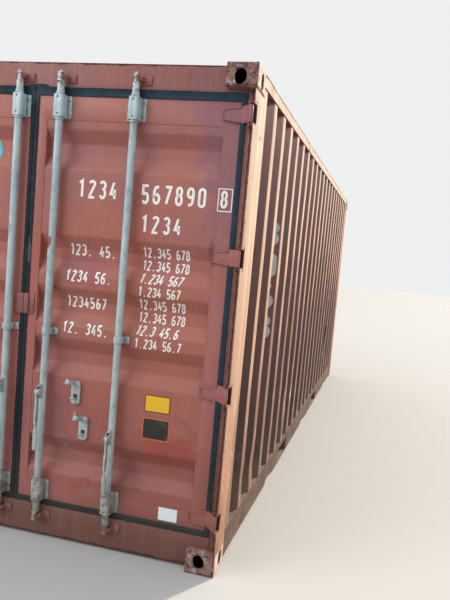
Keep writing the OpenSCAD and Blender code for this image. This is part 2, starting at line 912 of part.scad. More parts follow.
// Bearing bracket: pressed cover with two holes, flanges on the door, a bush at each end
module bearing() {
    depth = leaf_in - rod_in;
    difference() {
        intersection() {
            translate([-depth, 0, 0]) rotate([90, 0, 90]) linear_extrude(depth + cover_reach)
                plate(2 * bracket_w, bearing_h, plate_r);
            translate([0, 0, -bearing_h / 2]) {
                linear_extrude(bearing_h) {
                    difference() {
                        cover_section(0);
                        translate([-1, 0]) cover_section(bracket_t);
                    }
                    for (s = [-1, 1]) {
                        translate([-depth, s > 0 ? cover_w / 2 - bracket_t : -bracket_w])
                            square([bracket_t, bracket_w - cover_w / 2 + bracket_t]);
                    }
                }
                for (z = [0, bearing_h - bush_h]) {
                    translate([0, 0, z]) linear_extrude(bush_h) cover_section(bracket_t / 2);
                }
            }
        }
        translate([0, 0, -bearing_h]) cylinder(r = rod_r + rod_fit, h = 2 * bearing_h);
        for (z = [-cover_hole_z, cover_hole_z]) {
            translate([rod_r, 0, z]) rotate([0, 90, 0]) cylinder(r = cover_hole_r, h = rod_r);
        }
    }
}

// Hat-shaped guide strap round a rod, feet on the door face
module guide() {
    depth = leaf_in - rod_in;
    inner = rod_r + rod_fit;
    outer = inner + bracket_t;
    translate([0, 0, -guide_h / 2]) linear_extrude(guide_h) {
        difference() {
            union() {
                circle(r = outer);
                translate([-depth, -outer]) square([depth, 2 * outer]);
            }
            circle(r = inner);
            translate([-depth - 1, -inner]) square([depth + 1, 2 * inner]);
        }
        translate([-depth, -guide_foot]) square([bracket_t, guide_foot - outer + 1]);
        translate([-depth, outer - 1]) square([bracket_t, bracket_w - outer + 1]);
    }
}

module rod_brackets(rods) {
    for (i = rods) {
        translate([rod_x, rod_y[i], 0]) {
            for (z = bearing_z) {
                translate([0, 0, z]) bearing();
            }
            translate([0, 0, guide_z]) guide();
        }
    }
}

function unit(v) = v / norm(v);

function left(v) = [-v[1], v[0]];

// Line of points moved sideways by d, with mitred bends
function beside(line, d) = [for (i = [0:len(line) - 1])
    let (a = left(unit(i > 0 ? line[i] - line[i - 1] : line[1] - line[0])))
    let (b = i < len(line) - 1 ? left(unit(line[i + 1] - line[i])) : a)
    line[i] + (a + b) * d / (1 + a * b)];

// Strip of thickness t along a line of points
module band(line, t) {
    polygon(concat(beside(line, t / 2), backward(beside(line, -t / 2))));
}

// Outline of a handle retainer, drawn in by d
module retainer_face(d) {
    w = retainer_w / 2 - d;
    top = retainer_top - d;
    foot = retainer_foot - d;
    bevel = retainer_w / 4;
    polygon([[-w, bevel - foot], [bevel / 2 - w, bevel / 3 - foot], [-bevel / 2, -foot], [bevel / 2, -foot],
        [w - bevel / 2, bevel / 3 - foot], [w, bevel - foot], [w, top - bevel], [w - bevel / 2, top],
        [bevel / 2 - w, top], [-w, top - bevel]]);
}

// Handle retainer: a pressed box with a window, a hooked tongue for the raised handle and a pivot
module retainer() {
    x = face_x - panel_in;
    t = rim_t;
    rest = -handle_w / 2 - rest_gap;
    rotate([90, 0, 90]) translate([0, 0, x]) difference() {
        linear_extrude(retainer_d) retainer_face(0);
        translate([0, 0, -1]) linear_extrude(retainer_d - t + 1) retainer_face(t);
        translate([-tongue_w / 2, rest - t]) cube([tongue_w + t, window_h, 2 * retainer_d]);
    }
    translate([0, tongue_w / 2, 0]) rotate([90, 0, 0]) linear_extrude(tongue_w) band([
        [plate_front - t, rest - t / 2],
        [gear_front - 2 * t, rest - t / 2],
        [gear_front - t / 2, rest + t],
        [gear_front - t / 2, rest + 2 * t]
    ], t);
    translate([plate_front - eps, catch_side, catch_up]) rotate([0, 90, 0])
        cylinder(r = catch_pin_r, h = catch_t + rim_t);
}

// Swinging catch that drops in front of a raised handle
module catch() {
    t = catch_t;
    flat = plate_front + t / 2 + rod_fit;
    front = gear_front - t / 2;
    rotate([-catch_rise, 0, 0]) difference() {
        union() {
            translate([flat - t / 2, 0, 0]) rotate([0, 90, 0]) cylinder(r = catch_h / 2 + 2, h = t);
            translate([0, 0, -catch_h / 2]) linear_extrude(catch_h) band([
                [flat, 0],
                [flat, -catch_l / 3],
                [front, -0.6 * catch_l],
                [front, -catch_l]
            ], t);
            translate([front - t / 2, -catch_l, -catch_h / 2 - catch_lip])
                cube([t, catch_l / 4, catch_h / 2 + catch_lip]);
        }
        translate([flat - t, 0, 0]) rotate([0, 90, 0]) cylinder(r = catch_pin_r + pin_fit, h = 2 * t);
    }
}

function retainer_y(i) = rod_y[i] + lock_to[i] * retainer_off;

module retainers(rods) {
    for (i = rods) {
        translate([0, retainer_y(i), hub_z[i]]) retainer();
    }
}

module catch_at(i) {
    color(grey) translate([0, retainer_y(i) + catch_side, hub_z[i] + catch_up]) catch();
}

// Cam with two flanges and a nose, standing on z = 0, nose along the turn a
module cam(a) {
    z1 = neck_l;
    z2 = z1 + cam_t;
    z3 = z2 + nose_h;
    rotate([0, 0, a]) {
        cylinder(r = neck_r, h = z1);
        for (z = [z1, z3]) {
            translate([0, 0, z]) linear_extrude(cam_t) {
                circle(r = cam_r * 0.66);
                intersection() {
                    circle(r = cam_r);
                    translate([0, -cam_r * 0.66]) square([cam_r, cam_r * 1.32]);
                }
            }
        }
        translate([0, 0, z2]) linear_extrude(nose_h) {
            circle(r = core_r);
            intersection() {
                circle(r = nose_r);
                translate([0, -nose_w / 2]) square([nose_r, nose_w]);
            }
        }
        translate([0, 0, z3 + cam_t]) cylinder(r = stub_r, h = stub_l);
    }
}

// Cheek plate of a handle's hub, in the XZ plane
module cheek() {
    root = rod_r + 4;
    nose = hub_r + 6;
    h = cheek_h / 2;
    rotate([90, 0, 0]) linear_extrude(cheek_t) {
        polygon([[rod_r / 2, -h], [root, -h], [nose, -0.4 * h], [nose, 0.4 * h], [root, h], [rod_r / 2, h]]);
        translate([hub_r, 0]) circle(r = handle_w / 2);
    }
}

module lock_rod(i) {
    nose = lock_to[i] > 0 ? 0 : 180;
    half = handle_t / 2 + cheek_gap;
    wide = half + cheek_t;
    color(grey) translate([rod_x, rod_y[i], 0]) {
        translate([0, 0, cam_z0]) cylinder(r = rod_r, h = cam_z1 - cam_z0);
        translate([0, 0, cam_z1]) cam(nose);
        translate([0, 0, cam_z0]) mirror([0, 0, 1]) cam(nose);
        translate([0, 0, bearing_z[0] + bearing_h / 2 + rod_fit]) cylinder(r = collar_r, h = collar_h);
        translate([0, 0, bearing_z[0] - bearing_h / 2 - rod_fit - shoulder_h])
            cylinder(r1 = rod_r, r2 = collar_r, h = shoulder_h);
        translate([0, 0, bearing_z[1] - bearing_h / 2 - rod_fit - collar_h])
            cylinder(r = collar_r, h = collar_h);
        translate([0, 0, bearing_z[1] + bearing_h / 2 + rod_fit])
            cylinder(r1 = collar_r, r2 = rod_r, h = shoulder_h);
        translate([0, 0, hub_z[i]]) {
            translate([0, -half, 0]) cheek();
            translate([0, wide, 0]) cheek();
            translate([rod_r / 2, -wide, cheek_h / 2 - cheek_t]) cube([hub_r - rod_r, 2 * wide, cheek_t]);
            translate([hub_r, wide + 3, 0]) rotate([90, 0, 0]) cylinder(r = rivet_r, h = 2 * (wide + 3));
        }
    }
}

// Outline of a handle's flat part, drawn in by d, waisted below the pivot
module handle_face(d) {
    w = handle_w / 2 - d;
    polygon([for (s = [1, -1]) each [
        for (p = s > 0 ? handle_waist : backward(handle_waist)) [s * (w - p[1]), -p[0]]
    ]]);
}

// Handle hanging from its pivot at the origin: rimmed bar, quarter twist, flat grip
module handle() {
    difference() {
        union() {
            rotate([90, 0, 0]) cylinder(r = handle_w / 2, h = handle_t, center = true);
            rotate([90, 0, 0]) linear_extrude(rim_t, center = true) handle_face(0);
            rotate([90, 0, 0]) linear_extrude(handle_t, center = true) difference() {
                handle_face(0);
                handle_face(rim_t);
            }
            translate([0, 0, -twist_at - twist_l]) linear_extrude(twist_l, twist = 90, slices = 8, $fn = 4)
                square([grip_t, handle_w - 2 * handle_waist[4][1]], center = true);
            translate([grip_t / 2, 0, -twist_at - twist_l]) rotate([0, -90, 0]) linear_extrude(grip_t)
                grip_face();
        }
        rotate([90, 0, 0]) cylinder(r = rivet_r + pin_fit, h = 4 * handle_t, center = true);
    }
}

// Outline of a handle's grip, hanging from its top edge, with a round end
module grip_face() {
    l = handle_l - twist_at - twist_l;
    w = handle_w - 2 * handle_waist[4][1];
    translate([w / 2 - l, -w / 2]) square([l - w / 2, w]);
    translate([w / 2 - l, 0]) circle(r = w / 2);
}

module handle_at(i) {
    color(grey) translate([rod_x + hub_r, rod_y[i], hub_z[i]]) handle();
}

module right_door_frame() {
    color(red) leaf_frame(lap_foot_r);
}

module left_door_frame() {
    color(red) mirror([0, 1, 0]) leaf_frame(lap_foot_l);
}

module right_door_panel() {
    color(red) leaf_panel();
}

module left_door_panel() {
    color(red) mirror([0, 1, 0]) leaf_panel();
}

module right_door_seal() {
    color(black) leaf_seal();
}

module left_door_seal() {
    color(black) mirror([0, 1, 0]) leaf_seal();
}

module right_hinge_blades() {
    color(red) leaf_blades();
}

module left_hinge_blades() {
    color(red) mirror([0, 1, 0]) leaf_blades();
}

module right_rod_brackets() {
    color(grey) rod_brackets([2, 3]);
}

module left_rod_brackets() {
    color(grey) rod_brackets([0, 1]);
}

module right_handle_retainers() {
    color(grey) retainers([2, 3]);
}

module left_handle_retainers() {
    color(grey) retainers([0, 1]);
}

top_corner_castings();
bottom_corner_castings();
door_post_right();
door_post_left();
front_posts();
door_header();
door_sill();
cam_keepers();
hinge_lugs();
front_top_rail();
front_bottom_rail();
top_side_rails();
bottom_side_rails();
fork_pockets();
cross_members();
side_wall_left();
side_wall_right();
front_wall();
roof_panel();
roof_corner_plates();
floor_boards();
right_door_frame();
right_door_panel();
right_door_seal();
right_hinge_blades();
right_rod_brackets();
right_handle_retainers();
left_door_frame();
left_door_panel();
left_door_seal();
left_hinge_blades();
left_rod_brackets();
left_handle_retainers();
lock_rod(0);  // left_outer_rod
lock_rod(1);  // left_inner_rod
lock_rod(2);  // right_inner_rod
lock_rod(3);  // right_outer_rod
handle_at(0);  // left_outer_handle
handle_at(1);  // left_inner_handle
handle_at(2);  // right_inner_handle
handle_at(3);  // right_outer_handle
catch_at(0);  // left_outer_catch
catch_at(1);  // left_inner_catch
catch_at(2);  // right_inner_catch
catch_at(3);  // right_outer_catch
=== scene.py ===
"""Looks of a weathered twenty-foot freight container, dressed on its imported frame. Metres, Z up."""
import json
import math
from functools import reduce
from types import SimpleNamespace

import bmesh
import bpy
from mathutils import Matrix, Quaternion, Vector, noise
from mathutils.bvhtree import BVHTree


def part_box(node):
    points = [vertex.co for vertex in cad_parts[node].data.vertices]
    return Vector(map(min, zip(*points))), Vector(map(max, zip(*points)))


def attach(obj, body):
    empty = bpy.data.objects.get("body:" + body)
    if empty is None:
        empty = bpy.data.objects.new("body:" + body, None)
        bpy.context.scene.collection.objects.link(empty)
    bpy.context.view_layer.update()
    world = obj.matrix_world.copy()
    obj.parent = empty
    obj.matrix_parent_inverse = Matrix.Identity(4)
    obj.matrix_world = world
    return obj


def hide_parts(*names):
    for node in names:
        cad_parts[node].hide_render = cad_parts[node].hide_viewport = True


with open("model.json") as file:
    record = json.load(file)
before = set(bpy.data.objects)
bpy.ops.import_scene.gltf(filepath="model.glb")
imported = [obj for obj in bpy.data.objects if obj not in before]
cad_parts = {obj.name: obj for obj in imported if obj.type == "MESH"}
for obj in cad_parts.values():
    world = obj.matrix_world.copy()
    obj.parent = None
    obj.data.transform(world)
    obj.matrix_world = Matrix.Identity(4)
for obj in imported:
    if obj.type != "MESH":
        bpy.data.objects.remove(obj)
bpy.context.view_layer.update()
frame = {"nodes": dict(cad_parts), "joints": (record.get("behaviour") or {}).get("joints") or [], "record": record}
NODES = frame["nodes"]
X, Y, Z = range(3)

# Camera, as the photograph was taken: heading in plan from +X, tilt and roll in degrees
PHOTO_SIZE = (450, 600)
CAMERA_AT = Vector((5.840, 1.930, 1.672))
CAMERA_HEADING = -167.25
CAMERA_TILT = -5.39
CAMERA_ROLL = 5.31
FOCAL_PX = 589.8
CENTRE_PX = (251.7, 311.6)
SENSOR = 36.0


def direction(heading, elevation):
    """Unit vector from a heading in plan and an elevation, both in degrees."""
    h, e = math.radians(heading), math.radians(elevation)
    return Vector((math.cos(h) * math.cos(e), math.sin(h) * math.cos(e), math.sin(e)))


def add(obj):
    """Links an object to the scene."""
    bpy.context.scene.collection.objects.link(obj)
    return obj


def make_camera():
    """Camera at the photograph's place, shifted to its frame."""
    long_side = max(PHOTO_SIZE)
    data = bpy.data.cameras.new("camera")
    data.sensor_width = SENSOR
    data.lens = FOCAL_PX / long_side * SENSOR
    data.shift_x = (PHOTO_SIZE[0] / 2 - CENTRE_PX[0]) / long_side
    data.shift_y = (CENTRE_PX[1] - PHOTO_SIZE[1] / 2) / long_side
    data.clip_end = 100
    camera = add(bpy.data.objects.new("camera", data))
    camera.location = CAMERA_AT
    camera.rotation_mode = "QUATERNION"
    aim = direction(CAMERA_HEADING, CAMERA_TILT).to_track_quat("-Z", "Y")
    camera.rotation_quaternion = aim @ Quaternion((0, 0, 1), math.radians(CAMERA_ROLL))
    bpy.context.scene.camera = camera


# Colours


def tint(code):
    """Linear colour from a six-figure screen colour."""
    parts = [int(code[i:i + 2], 16) / 255 for i in (0, 2, 4)]
    return tuple(c / 12.92 if c < 0.04045 else ((c + 0.055) / 1.055) ** 2.4 for c in parts) + (1.0,)


def shades(**codes):
    """Colours by name, from screen colours."""
    return SimpleNamespace(**{name: tint(code) for name, code in codes.items()})


class Graph:
    """Short forms for the nodes of a shader tree."""

    def __init__(self, tree):
        self.tree = tree

    def node(self, kind, **sets):
        made = self.tree.nodes.new(kind)
        for key, value in sets.items():
            setattr(made, key, value)
        return made

    def put(self, socket, value):
        """Links a source to a socket, or sets the socket's own value."""
        if isinstance(value, bpy.types.NodeSocket):
            self.tree.links.new(value, socket)
        else:
            socket.default_value = value

    def parts(self, vector):
        """A vector's parts along X, Y and Z."""
        split = self.node("ShaderNodeSeparateXYZ")
        self.put(split.inputs[0], vector)
        return split.outputs

    def step(self, value, low, high, to_low=0.0, to_high=1.0):
        """Maps value from low..high to to_low..to_high and holds it beyond them."""
        made = self.node("ShaderNodeMapRange")
        for socket, given in zip(made.inputs, (value, low, high, to_low, to_high)):
            self.put(socket, given)
        return made.outputs["Result"]

    def calc(self, operation, a, b=0.5):
        made = self.node("ShaderNodeMath", operation=operation)
        self.put(made.inputs[0], a)
        self.put(made.inputs[1], b)
        return made.outputs[0]

    def most(self, *masks):
        """The greatest of some masks."""
        return reduce(lambda a, b: self.calc("MAXIMUM", a, b), masks)

    def times(self, *masks):
        """The product of some masks."""
        return reduce(lambda a, b: self.calc("MULTIPLY", a, b), masks)

    def mix(self, a, b, share):
        made = self.node("ShaderNodeMix", data_type="RGBA")
        self.put(made.inputs[0], share)
        self.put(made.inputs[6], a)
        self.put(made.inputs[7], b)
        return made.outputs[2]

    def background_seen(self):
        """1 for the rays that show the backdrop: straight, off a gloss or through glass."""
        path = self.node("ShaderNodeLightPath")
        rays = ("Is Camera Ray", "Is Glossy Ray", "Is Transmission Ray")
        return self.most(*(path.outputs[ray] for ray in rays))


class Finish(Graph):
    """A material, with masks that lie in the object's own coordinates."""

    def __init__(self, name):
        self.material = bpy.data.materials.new(name)
        self.material.use_nodes = True
        super().__init__(self.material.node_tree)
        self.shader = self.tree.nodes["Principled BSDF"]
        self.place = self.node("ShaderNodeTexCoord").outputs["Object"]
        self.x, self.y, self.z = self.parts(self.place)

    def placed(self, shift, scale):
        """The object's own coordinates, scaled and then shifted."""
        mapping = self.node("ShaderNodeMapping")
        self.put(mapping.inputs["Vector"], self.place)
        mapping.inputs["Location"].default_value = shift
        mapping.inputs["Scale"].default_value = scale
        return mapping.outputs[0]

    def clouds(self, scale, stretch=(1, 1, 1), detail=4, rough=0.6, shift=0.0):
        """Noise from 0 to 1, with scale in patches per metre."""
        made = self.node("ShaderNodeTexNoise")
        self.put(made.inputs["Vector"], self.placed((shift, shift * 0.7, -shift), stretch))
        made.inputs["Scale"].default_value = scale
        made.inputs["Detail"].default_value = detail
        made.inputs["Roughness"].default_value = rough
        return made.outputs["Fac"]

    def ragged(self, value, by, cloud, low=0.3, high=0.7):
        """A value that noise moves up and down by so much, for a mask with a ragged edge."""
        return self.calc("ADD", value, self.step(cloud, low, high, -by, by))

    def mark(self, name):
        """A value that the mesh carries under this name."""
        return self.node("ShaderNodeAttribute", attribute_name=name).outputs["Fac"]

    def facing(self):
        """The surface normal's parts along X, Y and Z."""
        return self.parts(self.node("ShaderNodeNewGeometry").outputs["Normal"])

    def blot(self, centre, size, ragged=0.4, scale=14, shift=0.0):
        """Mask of a ragged patch about a point, from its half sizes in metres."""
        length = self.node("ShaderNodeVectorMath", operation="LENGTH")
        place = self.placed([-c / s for c, s in zip(centre, size)], [1 / s for s in size])
        self.put(length.inputs[0], place)
        edge = self.clouds(scale, detail=6, shift=shift)
        return self.step(self.ragged(length.outputs["Value"], ragged, edge), 0.75, 1.1, 1, 0)

    def line(self, value, at, half, ragged=0.5, scale=20, shift=0.0):
        """Mask of a ragged band where a value is near a number."""
        away = self.calc("ABSOLUTE", self.calc("SUBTRACT", value, at))
        edge = self.clouds(scale, detail=6, shift=shift)
        away = self.ragged(away, ragged * half, edge, 0.35, 0.65)
        return self.step(away, half * 0.8, half, 1, 0)

    def nook(self, reach, low=0.35, high=0.9):
        """Mask of sheltered corners, for the dirt there and for painted shade."""
        made = self.node("ShaderNodeAmbientOcclusion", samples=8, only_local=True)
        made.inputs["Distance"].default_value = reach
        return self.step(made.outputs["AO"], low, high, 1, 0)

    def bump(self, *layers):
        """Layers of (height source, strength, distance), each on the one before."""
        last = None
        for source, strength, distance in layers:
            made = self.node("ShaderNodeBump")
            made.inputs["Strength"].default_value = strength
            made.inputs["Distance"].default_value = distance
            self.put(made.inputs["Height"], source)
            if last is not None:
                self.put(made.inputs["Normal"], last)
            last = made.outputs[0]
        self.put(self.shader.inputs["Normal"], last)

    def done(self, colour, roughness, *bumps):
        """Connects what the shader takes, and returns the material."""
        self.put(self.shader.inputs["Base Color"], colour)
        self.put(self.shader.inputs["Roughness"], roughness)
        if bumps:
            self.bump(*bumps)
        return self.material


DUST = tint("a58f7d")
MUD = tint("83725f")
RUST = tint("6b3b28")
RUST_DARK = tint("38221c")
CHALK_AND_SHEEN = tint("dcc0ae")
OLD = shades(faded="c08a78", grain="2a1512", run="3c211d", fold_low="351e1a", fold_high="7c4f50",
             chalk_low="ae7c5d", chalk_high="e4c6ae", chalk_top="dfd0c2", chalk_dark="b5795a",
             chalk_pale="f3dcc0", splashed="86645a", scraped="f6ead8")
IRON = shades(dark="5c3f39", pale="a87d72", bare="cfc4c0", pit="241613", edge="2a1a17",
              rim="efe4d6")
GREY = shades(cold="bfd5da", cool="a8bcc2", low="b7c1ba", pale="dbe8ea", grime="6c6a60",
              nook="2e2b27", dried_mud="a09684", tip="dfe3e0", tip_rust="77503f", primer="9c4a3e")
SEAL = shades(base="142a38", blue="203d50", middle="131c20", worn="5d6664", bloom="60737c",
              low="20292a")
PLY = shades(light="8a6c49", dark="5f472f", stain="3c332b")
FILM = shades(worn="8f6259", dirt="9a8b7d")


def painted_fold_shade(g, tone, slope_shade, facing):
    """Painted shade on a corrugated wall's slope faces, darker low down and lighter high up. Returns the tone and
    how flat the face is.
    """
    slope = g.step(g.calc("ABSOLUTE", facing[X]), 0.1, 0.35)
    height = g.ragged(g.z, 0.4, g.clouds(2.5, (1, 1, 0.4), shift=19))
    shade = g.mix(slope_shade, OLD.fold_low, g.step(height, 0.5, 1.8, 1, 0))
    shade = g.mix(shade, OLD.fold_high, g.step(g.z, 1.7, 2.5, 0, 0.65))
    return g.mix(tone, shade, slope), g.step(slope, 0, 1, 1, 0.1)


def bleached_with_painted_light(g, splashed):
    """Paint on the faces toward the sun: chalked, streaked and scraped, its paleness partly a painted sheen,
    darker low down as painted shade, and on a wall a painted shadow low down that reaches higher away from the
    door end.
    """
    # Painted shade: the chalk is darker towards the bottom.
    chalk = g.mix(OLD.chalk_low, OLD.chalk_high, g.step(g.z, 0.2, 1.9))
    chalk = g.mix(chalk, OLD.chalk_top, g.step(g.z, 1.8, 2.5))
    dark = g.clouds(14, (9, 9, 0.07), detail=5, shift=25)
    chalk = g.mix(chalk, OLD.chalk_dark, g.step(dark, 0.44, 0.66, 0, 0.8))
    pale = g.clouds(22, (9, 9, 0.10), detail=4, shift=27)
    chalk = g.mix(chalk, OLD.chalk_pale, g.step(pale, 0.56, 0.72, 0, 0.6))
    # Painted shadow low on a wall, reaching higher away from the door end.
    if splashed:
        height = g.calc("ADD", g.z, g.step(g.x, 1.6, 2.7, 0, 0.6))
        height = g.ragged(height, 0.5, g.clouds(1.6, (2.5, 1, 1), detail=5, shift=29))
        chalk = g.mix(chalk, OLD.splashed, g.step(height, 1.15, 1.75, 0.85, 0))
    scrapes = g.step(g.clouds(11, (3, 3, 0.5), detail=7, rough=0.7, shift=35), 0.60, 0.63)
    scrapes = g.times(scrapes, g.step(g.z, 0.3, 1.2, 1, 0.1))
    return g.mix(chalk, OLD.scraped, g.times(scrapes, 0.8))


def rusted(g, rust, lines):
    """Mask of rust spots, patches, worn edges and rusty lines."""
    spots = g.clouds(28, detail=6, rough=0.7, shift=11)
    spots = g.step(spots, 0.72 - 0.08 * rust, 0.75 - 0.08 * rust)
    patches = g.clouds(3.2, detail=7, rough=0.72, shift=15)
    patches = g.step(patches, 0.70 - 0.1 * rust, 0.73 - 0.1 * rust)
    worn = g.times(g.mark("edge"), g.step(g.clouds(34, detail=5, shift=4), 0.46, 0.56))
    mask = g.most(spots, patches, worn)
    for i, (axis, at, half, share) in enumerate(lines):
        band = g.line((g.x, g.y, g.z)[axis], at, half, shift=i * 2.3)
        mask = g.most(mask, g.times(band, share))
    return mask


def paint(name, base, warm, cool, rust=0.5, dust=0.4, streak=0.5, mud_to=0.5, rough=0.5,
          deep=None, sunny=0.0, slope_shade=None, blots=(), lines=()):
    """Old container paint: patches of tone, rain streaks, dust, mud, rust spots and worn edges.

    base, warm, cool and deep (near the ground) are screen colours, and so is the colour given for
    a wall's folds, which is painted shade. sunny is how far the faces to the south are sun-faded, with
    a painted sheen and painted shade on them; blots are patches (centre, half sizes, colour, share),
    and lines are rust (axis, place, half width, share).
    """
    g = Finish(name)
    g.shader.inputs["Specular IOR Level"].default_value = 0.3
    base = tint(base)
    facing = g.facing()
    tone = g.mix(base, tint(warm), g.step(g.clouds(0.8, shift=3), 0.40, 0.62))
    tone = g.mix(tone, tint(cool), g.step(g.clouds(1.4, (1, 1, 0.7), shift=9), 0.48, 0.68, 0, 0.85))
    faded = g.step(g.clouds(3.1, (1, 1, 0.5), shift=14), 0.5, 0.8, 0, 0.5)
    tone = g.mix(tone, g.mix(base, OLD.faded, 0.5), faded)
    if deep:
        height = g.ragged(g.z, 0.35, g.clouds(1.7, shift=17))
        tone = g.mix(tone, tint(deep), g.step(height, 0.45, 1.5, 0.7, 0))
    open_air = 1.0
    # Painted shade on the slope faces of a corrugated wall, darker low down.
    if slope_shade:
        tone, open_air = painted_fold_shade(g, tone, tint(slope_shade), facing)
    grain = g.clouds(70, detail=3)
    tone = g.mix(tone, OLD.grain, g.step(grain, 0.45, 0.8, 0, 0.14))
    matt = []
    if sunny:
        # The faces toward the sun: sun-faded, with a painted sheen and painted shade.
        south = g.times(g.step(facing[Y], 0.93, 0.985), g.step(g.y, 1.176, 1.2), sunny)
        tone = g.mix(tone, bleached_with_painted_light(g, bool(slope_shade)), south)
        matt.append(south)
    runs = g.step(g.clouds(9, (4, 4, 0.22), detail=6, shift=5), 0.47, 0.72)
    tone = g.mix(tone, DUST, g.times(runs, open_air, streak * 0.5))
    dark_runs = g.step(g.clouds(7, (5, 5, 0.16), detail=5, shift=21), 0.52, 0.75)
    tone = g.mix(tone, OLD.run, g.times(dark_runs, streak * 0.5))
    for i, (centre, size, colour, share) in enumerate(blots):
        tone = g.mix(tone, tint(colour), g.times(g.blot(centre, size, shift=i * 3.7), share))
    settled = g.step(g.clouds(6, shift=2), 0.25, 0.6, 0.45, 1)
    tone = g.mix(tone, DUST, g.times(g.step(facing[Z], 0.15, 0.9), settled, dust))
    height = g.ragged(g.z, 0.2, g.clouds(5, detail=6, shift=7))
    low = g.step(height, 0.02, mud_to, 1, 0)
    tone = g.mix(tone, MUD, g.times(low, dust * 0.8))
    rusty = rusted(g, rust, lines)
    iron = g.mix(RUST, RUST_DARK, g.step(g.clouds(60, shift=6), 0.35, 0.65))
    tone = g.mix(tone, iron, g.times(rusty, 0.9))
    matt = g.times(g.most(rusty, low, g.step(facing[Z], 0.2, 0.7), *matt), 0.35)
    dull = g.step(g.clouds(4, shift=8), 0.3, 0.7, rough - 0.08, rough + 0.1)
    return g.done(tone, g.calc("ADD", dull, matt), (g.clouds(5, detail=2, shift=1), 0.25, 0.006),
                  (grain, 0.12, 0.0008), (rusty, 0.35, 0.0006))


# Painted light on the door corner's end hole: middle of its sunlit rim and the rim's half sizes
SUNLIT_RIM = (3.018, 1.1025, 2.522), (0.030, 0.0060, 0.034)


def iron_paint(name, base, share, bright_rim=0.0):
    """Cast steel with paint left in patches, the rest scaly rust, chalk with a painted sheen on the faces toward
    the sun, and one rim painted pale as painted light.
    """
    g = Finish(name)
    scale = g.clouds(45, detail=8, rough=0.75)
    left = g.clouds(9, detail=8, rough=0.7, shift=3)
    left = g.step(left, 0.62 - 0.25 * share, 0.68 - 0.25 * share)
    iron = g.mix(IRON.dark, IRON.pale, g.step(scale, 0.38, 0.62))
    bare = g.step(g.clouds(17, detail=7, rough=0.7, shift=8), 0.52, 0.64, 0, 0.75)
    iron = g.mix(iron, IRON.bare, bare)
    pits = g.step(g.clouds(24, detail=6, rough=0.7, shift=31), 0.56, 0.66, 0, 0.85)
    iron = g.mix(iron, IRON.pit, pits)
    coat = g.mix(tint(base), DUST, g.step(g.clouds(12, shift=5), 0.4, 0.8, 0, 0.5))
    edge = g.mark("edge")
    tone = g.mix(iron, coat, g.times(left, g.step(edge, 0, 1, 1, 0.25)))
    dark_edge = g.step(g.clouds(30, detail=5, shift=33), 0.4, 0.6)
    tone = g.mix(tone, IRON.edge, g.times(edge, dark_edge, 0.7))
    # Chalk on the faces toward the sun, partly a painted sheen.
    chalk_and_sheen = g.step(g.clouds(20, detail=6, shift=12), 0.35, 0.5, 0.3, 0.9)
    tone = g.mix(tone, CHALK_AND_SHEEN, g.times(g.step(g.facing()[Y], 0.8, 0.97), chalk_and_sheen))
    # Painted light: the end hole's rim, painted pale as if sunlit.
    tone = g.mix(tone, IRON.rim, g.times(g.blot(*SUNLIT_RIM, 0.25, 40), bright_rim))
    return g.done(tone, g.step(left, 0, 1, 0.8, 0.55), (scale, 0.5, 0.003), (left, 0.5, 0.001))


# Where paint is lost on a rod, and how high the rods' bare ends begin
ROD_LOSS = (3.021, 0.155, 1.645), (0.020, 0.014, 0.036)
ROD_ENDS = 2.42, 2.45


def gear_paint():
    """Pale grey paint on the locking gear, chipped at edges, muddy and rusty near the ground, with grime and
    painted shade in its corners.
    """
    g = Finish("gear_paint")
    tone = g.mix(GREY.cold, GREY.cool, g.step(g.clouds(3.5, shift=2), 0.35, 0.65))
    tone = g.mix(tone, GREY.low, g.step(g.z, 0.6, 1.7, 0.6, 0))
    tone = g.mix(tone, GREY.pale, g.step(g.clouds(11, (1, 1, 0.3), shift=6), 0.55, 0.75, 0, 0.6))
    grime = g.step(g.clouds(30, (1, 1, 0.5), detail=6, shift=13), 0.5, 0.75)
    tone = g.mix(tone, GREY.grime, g.times(grime, 0.5))
    # Grime and painted shade in the gear's own corners.
    sheltered = g.step(g.clouds(35, detail=5, shift=37), 0.3, 0.6, 0.45, 1)
    tone = g.mix(tone, GREY.nook, g.times(g.nook(0.02), sheltered))
    height = g.calc("ADD", g.z, g.step(g.clouds(12, detail=5, shift=7), 0, 1, -0.2, 0.2))
    low = g.step(height, 0.10, 0.48, 1, 0)
    tone = g.mix(tone, GREY.dried_mud, g.times(low, 0.65))
    mud = g.step(g.clouds(20, detail=6, shift=39), 0.42, 0.56)
    tone = g.mix(tone, MUD, g.times(low, mud, 0.85))
    ends = g.step(g.ragged(g.z, 0.02, g.clouds(40, detail=4, shift=41)), *ROD_ENDS)
    tips = g.step(g.clouds(60, detail=4, shift=43), 0.42, 0.5)
    tone = g.mix(tone, GREY.tip, g.times(ends, tips, 0.7))
    tip_rust = g.step(g.clouds(48, detail=6, shift=45), 0.52, 0.57)
    tone = g.mix(tone, GREY.tip_rust, g.times(ends, tip_rust, 0.8))
    chips = g.step(g.clouds(42, detail=6, rough=0.7, shift=17), 0.68, 0.71)
    worn = g.times(g.mark("edge"), g.step(g.clouds(40, shift=4), 0.47, 0.55))
    bare = g.times(low, g.step(g.clouds(26, detail=6, shift=19), 0.53, 0.58), 0.85)
    rusty = g.most(chips, worn, bare)
    iron = g.mix(RUST, RUST_DARK, g.step(g.clouds(50, shift=6), 0.4, 0.6))
    tone = g.mix(tone, iron, rusty)
    tone = g.mix(tone, GREY.primer, g.blot(*ROD_LOSS, 0.7, 45))
    return g.done(tone, g.step(g.most(rusty, low), 0, 1, 0.32, 0.8),
                  (g.clouds(90, detail=3), 0.15, 0.0006), (rusty, 0.4, 0.0008))


# The stretch of seal between the doors that is worn pale
WORN_SEAL = (2.973, 0.012, 1.58), (0.03, 0.016, 0.07)


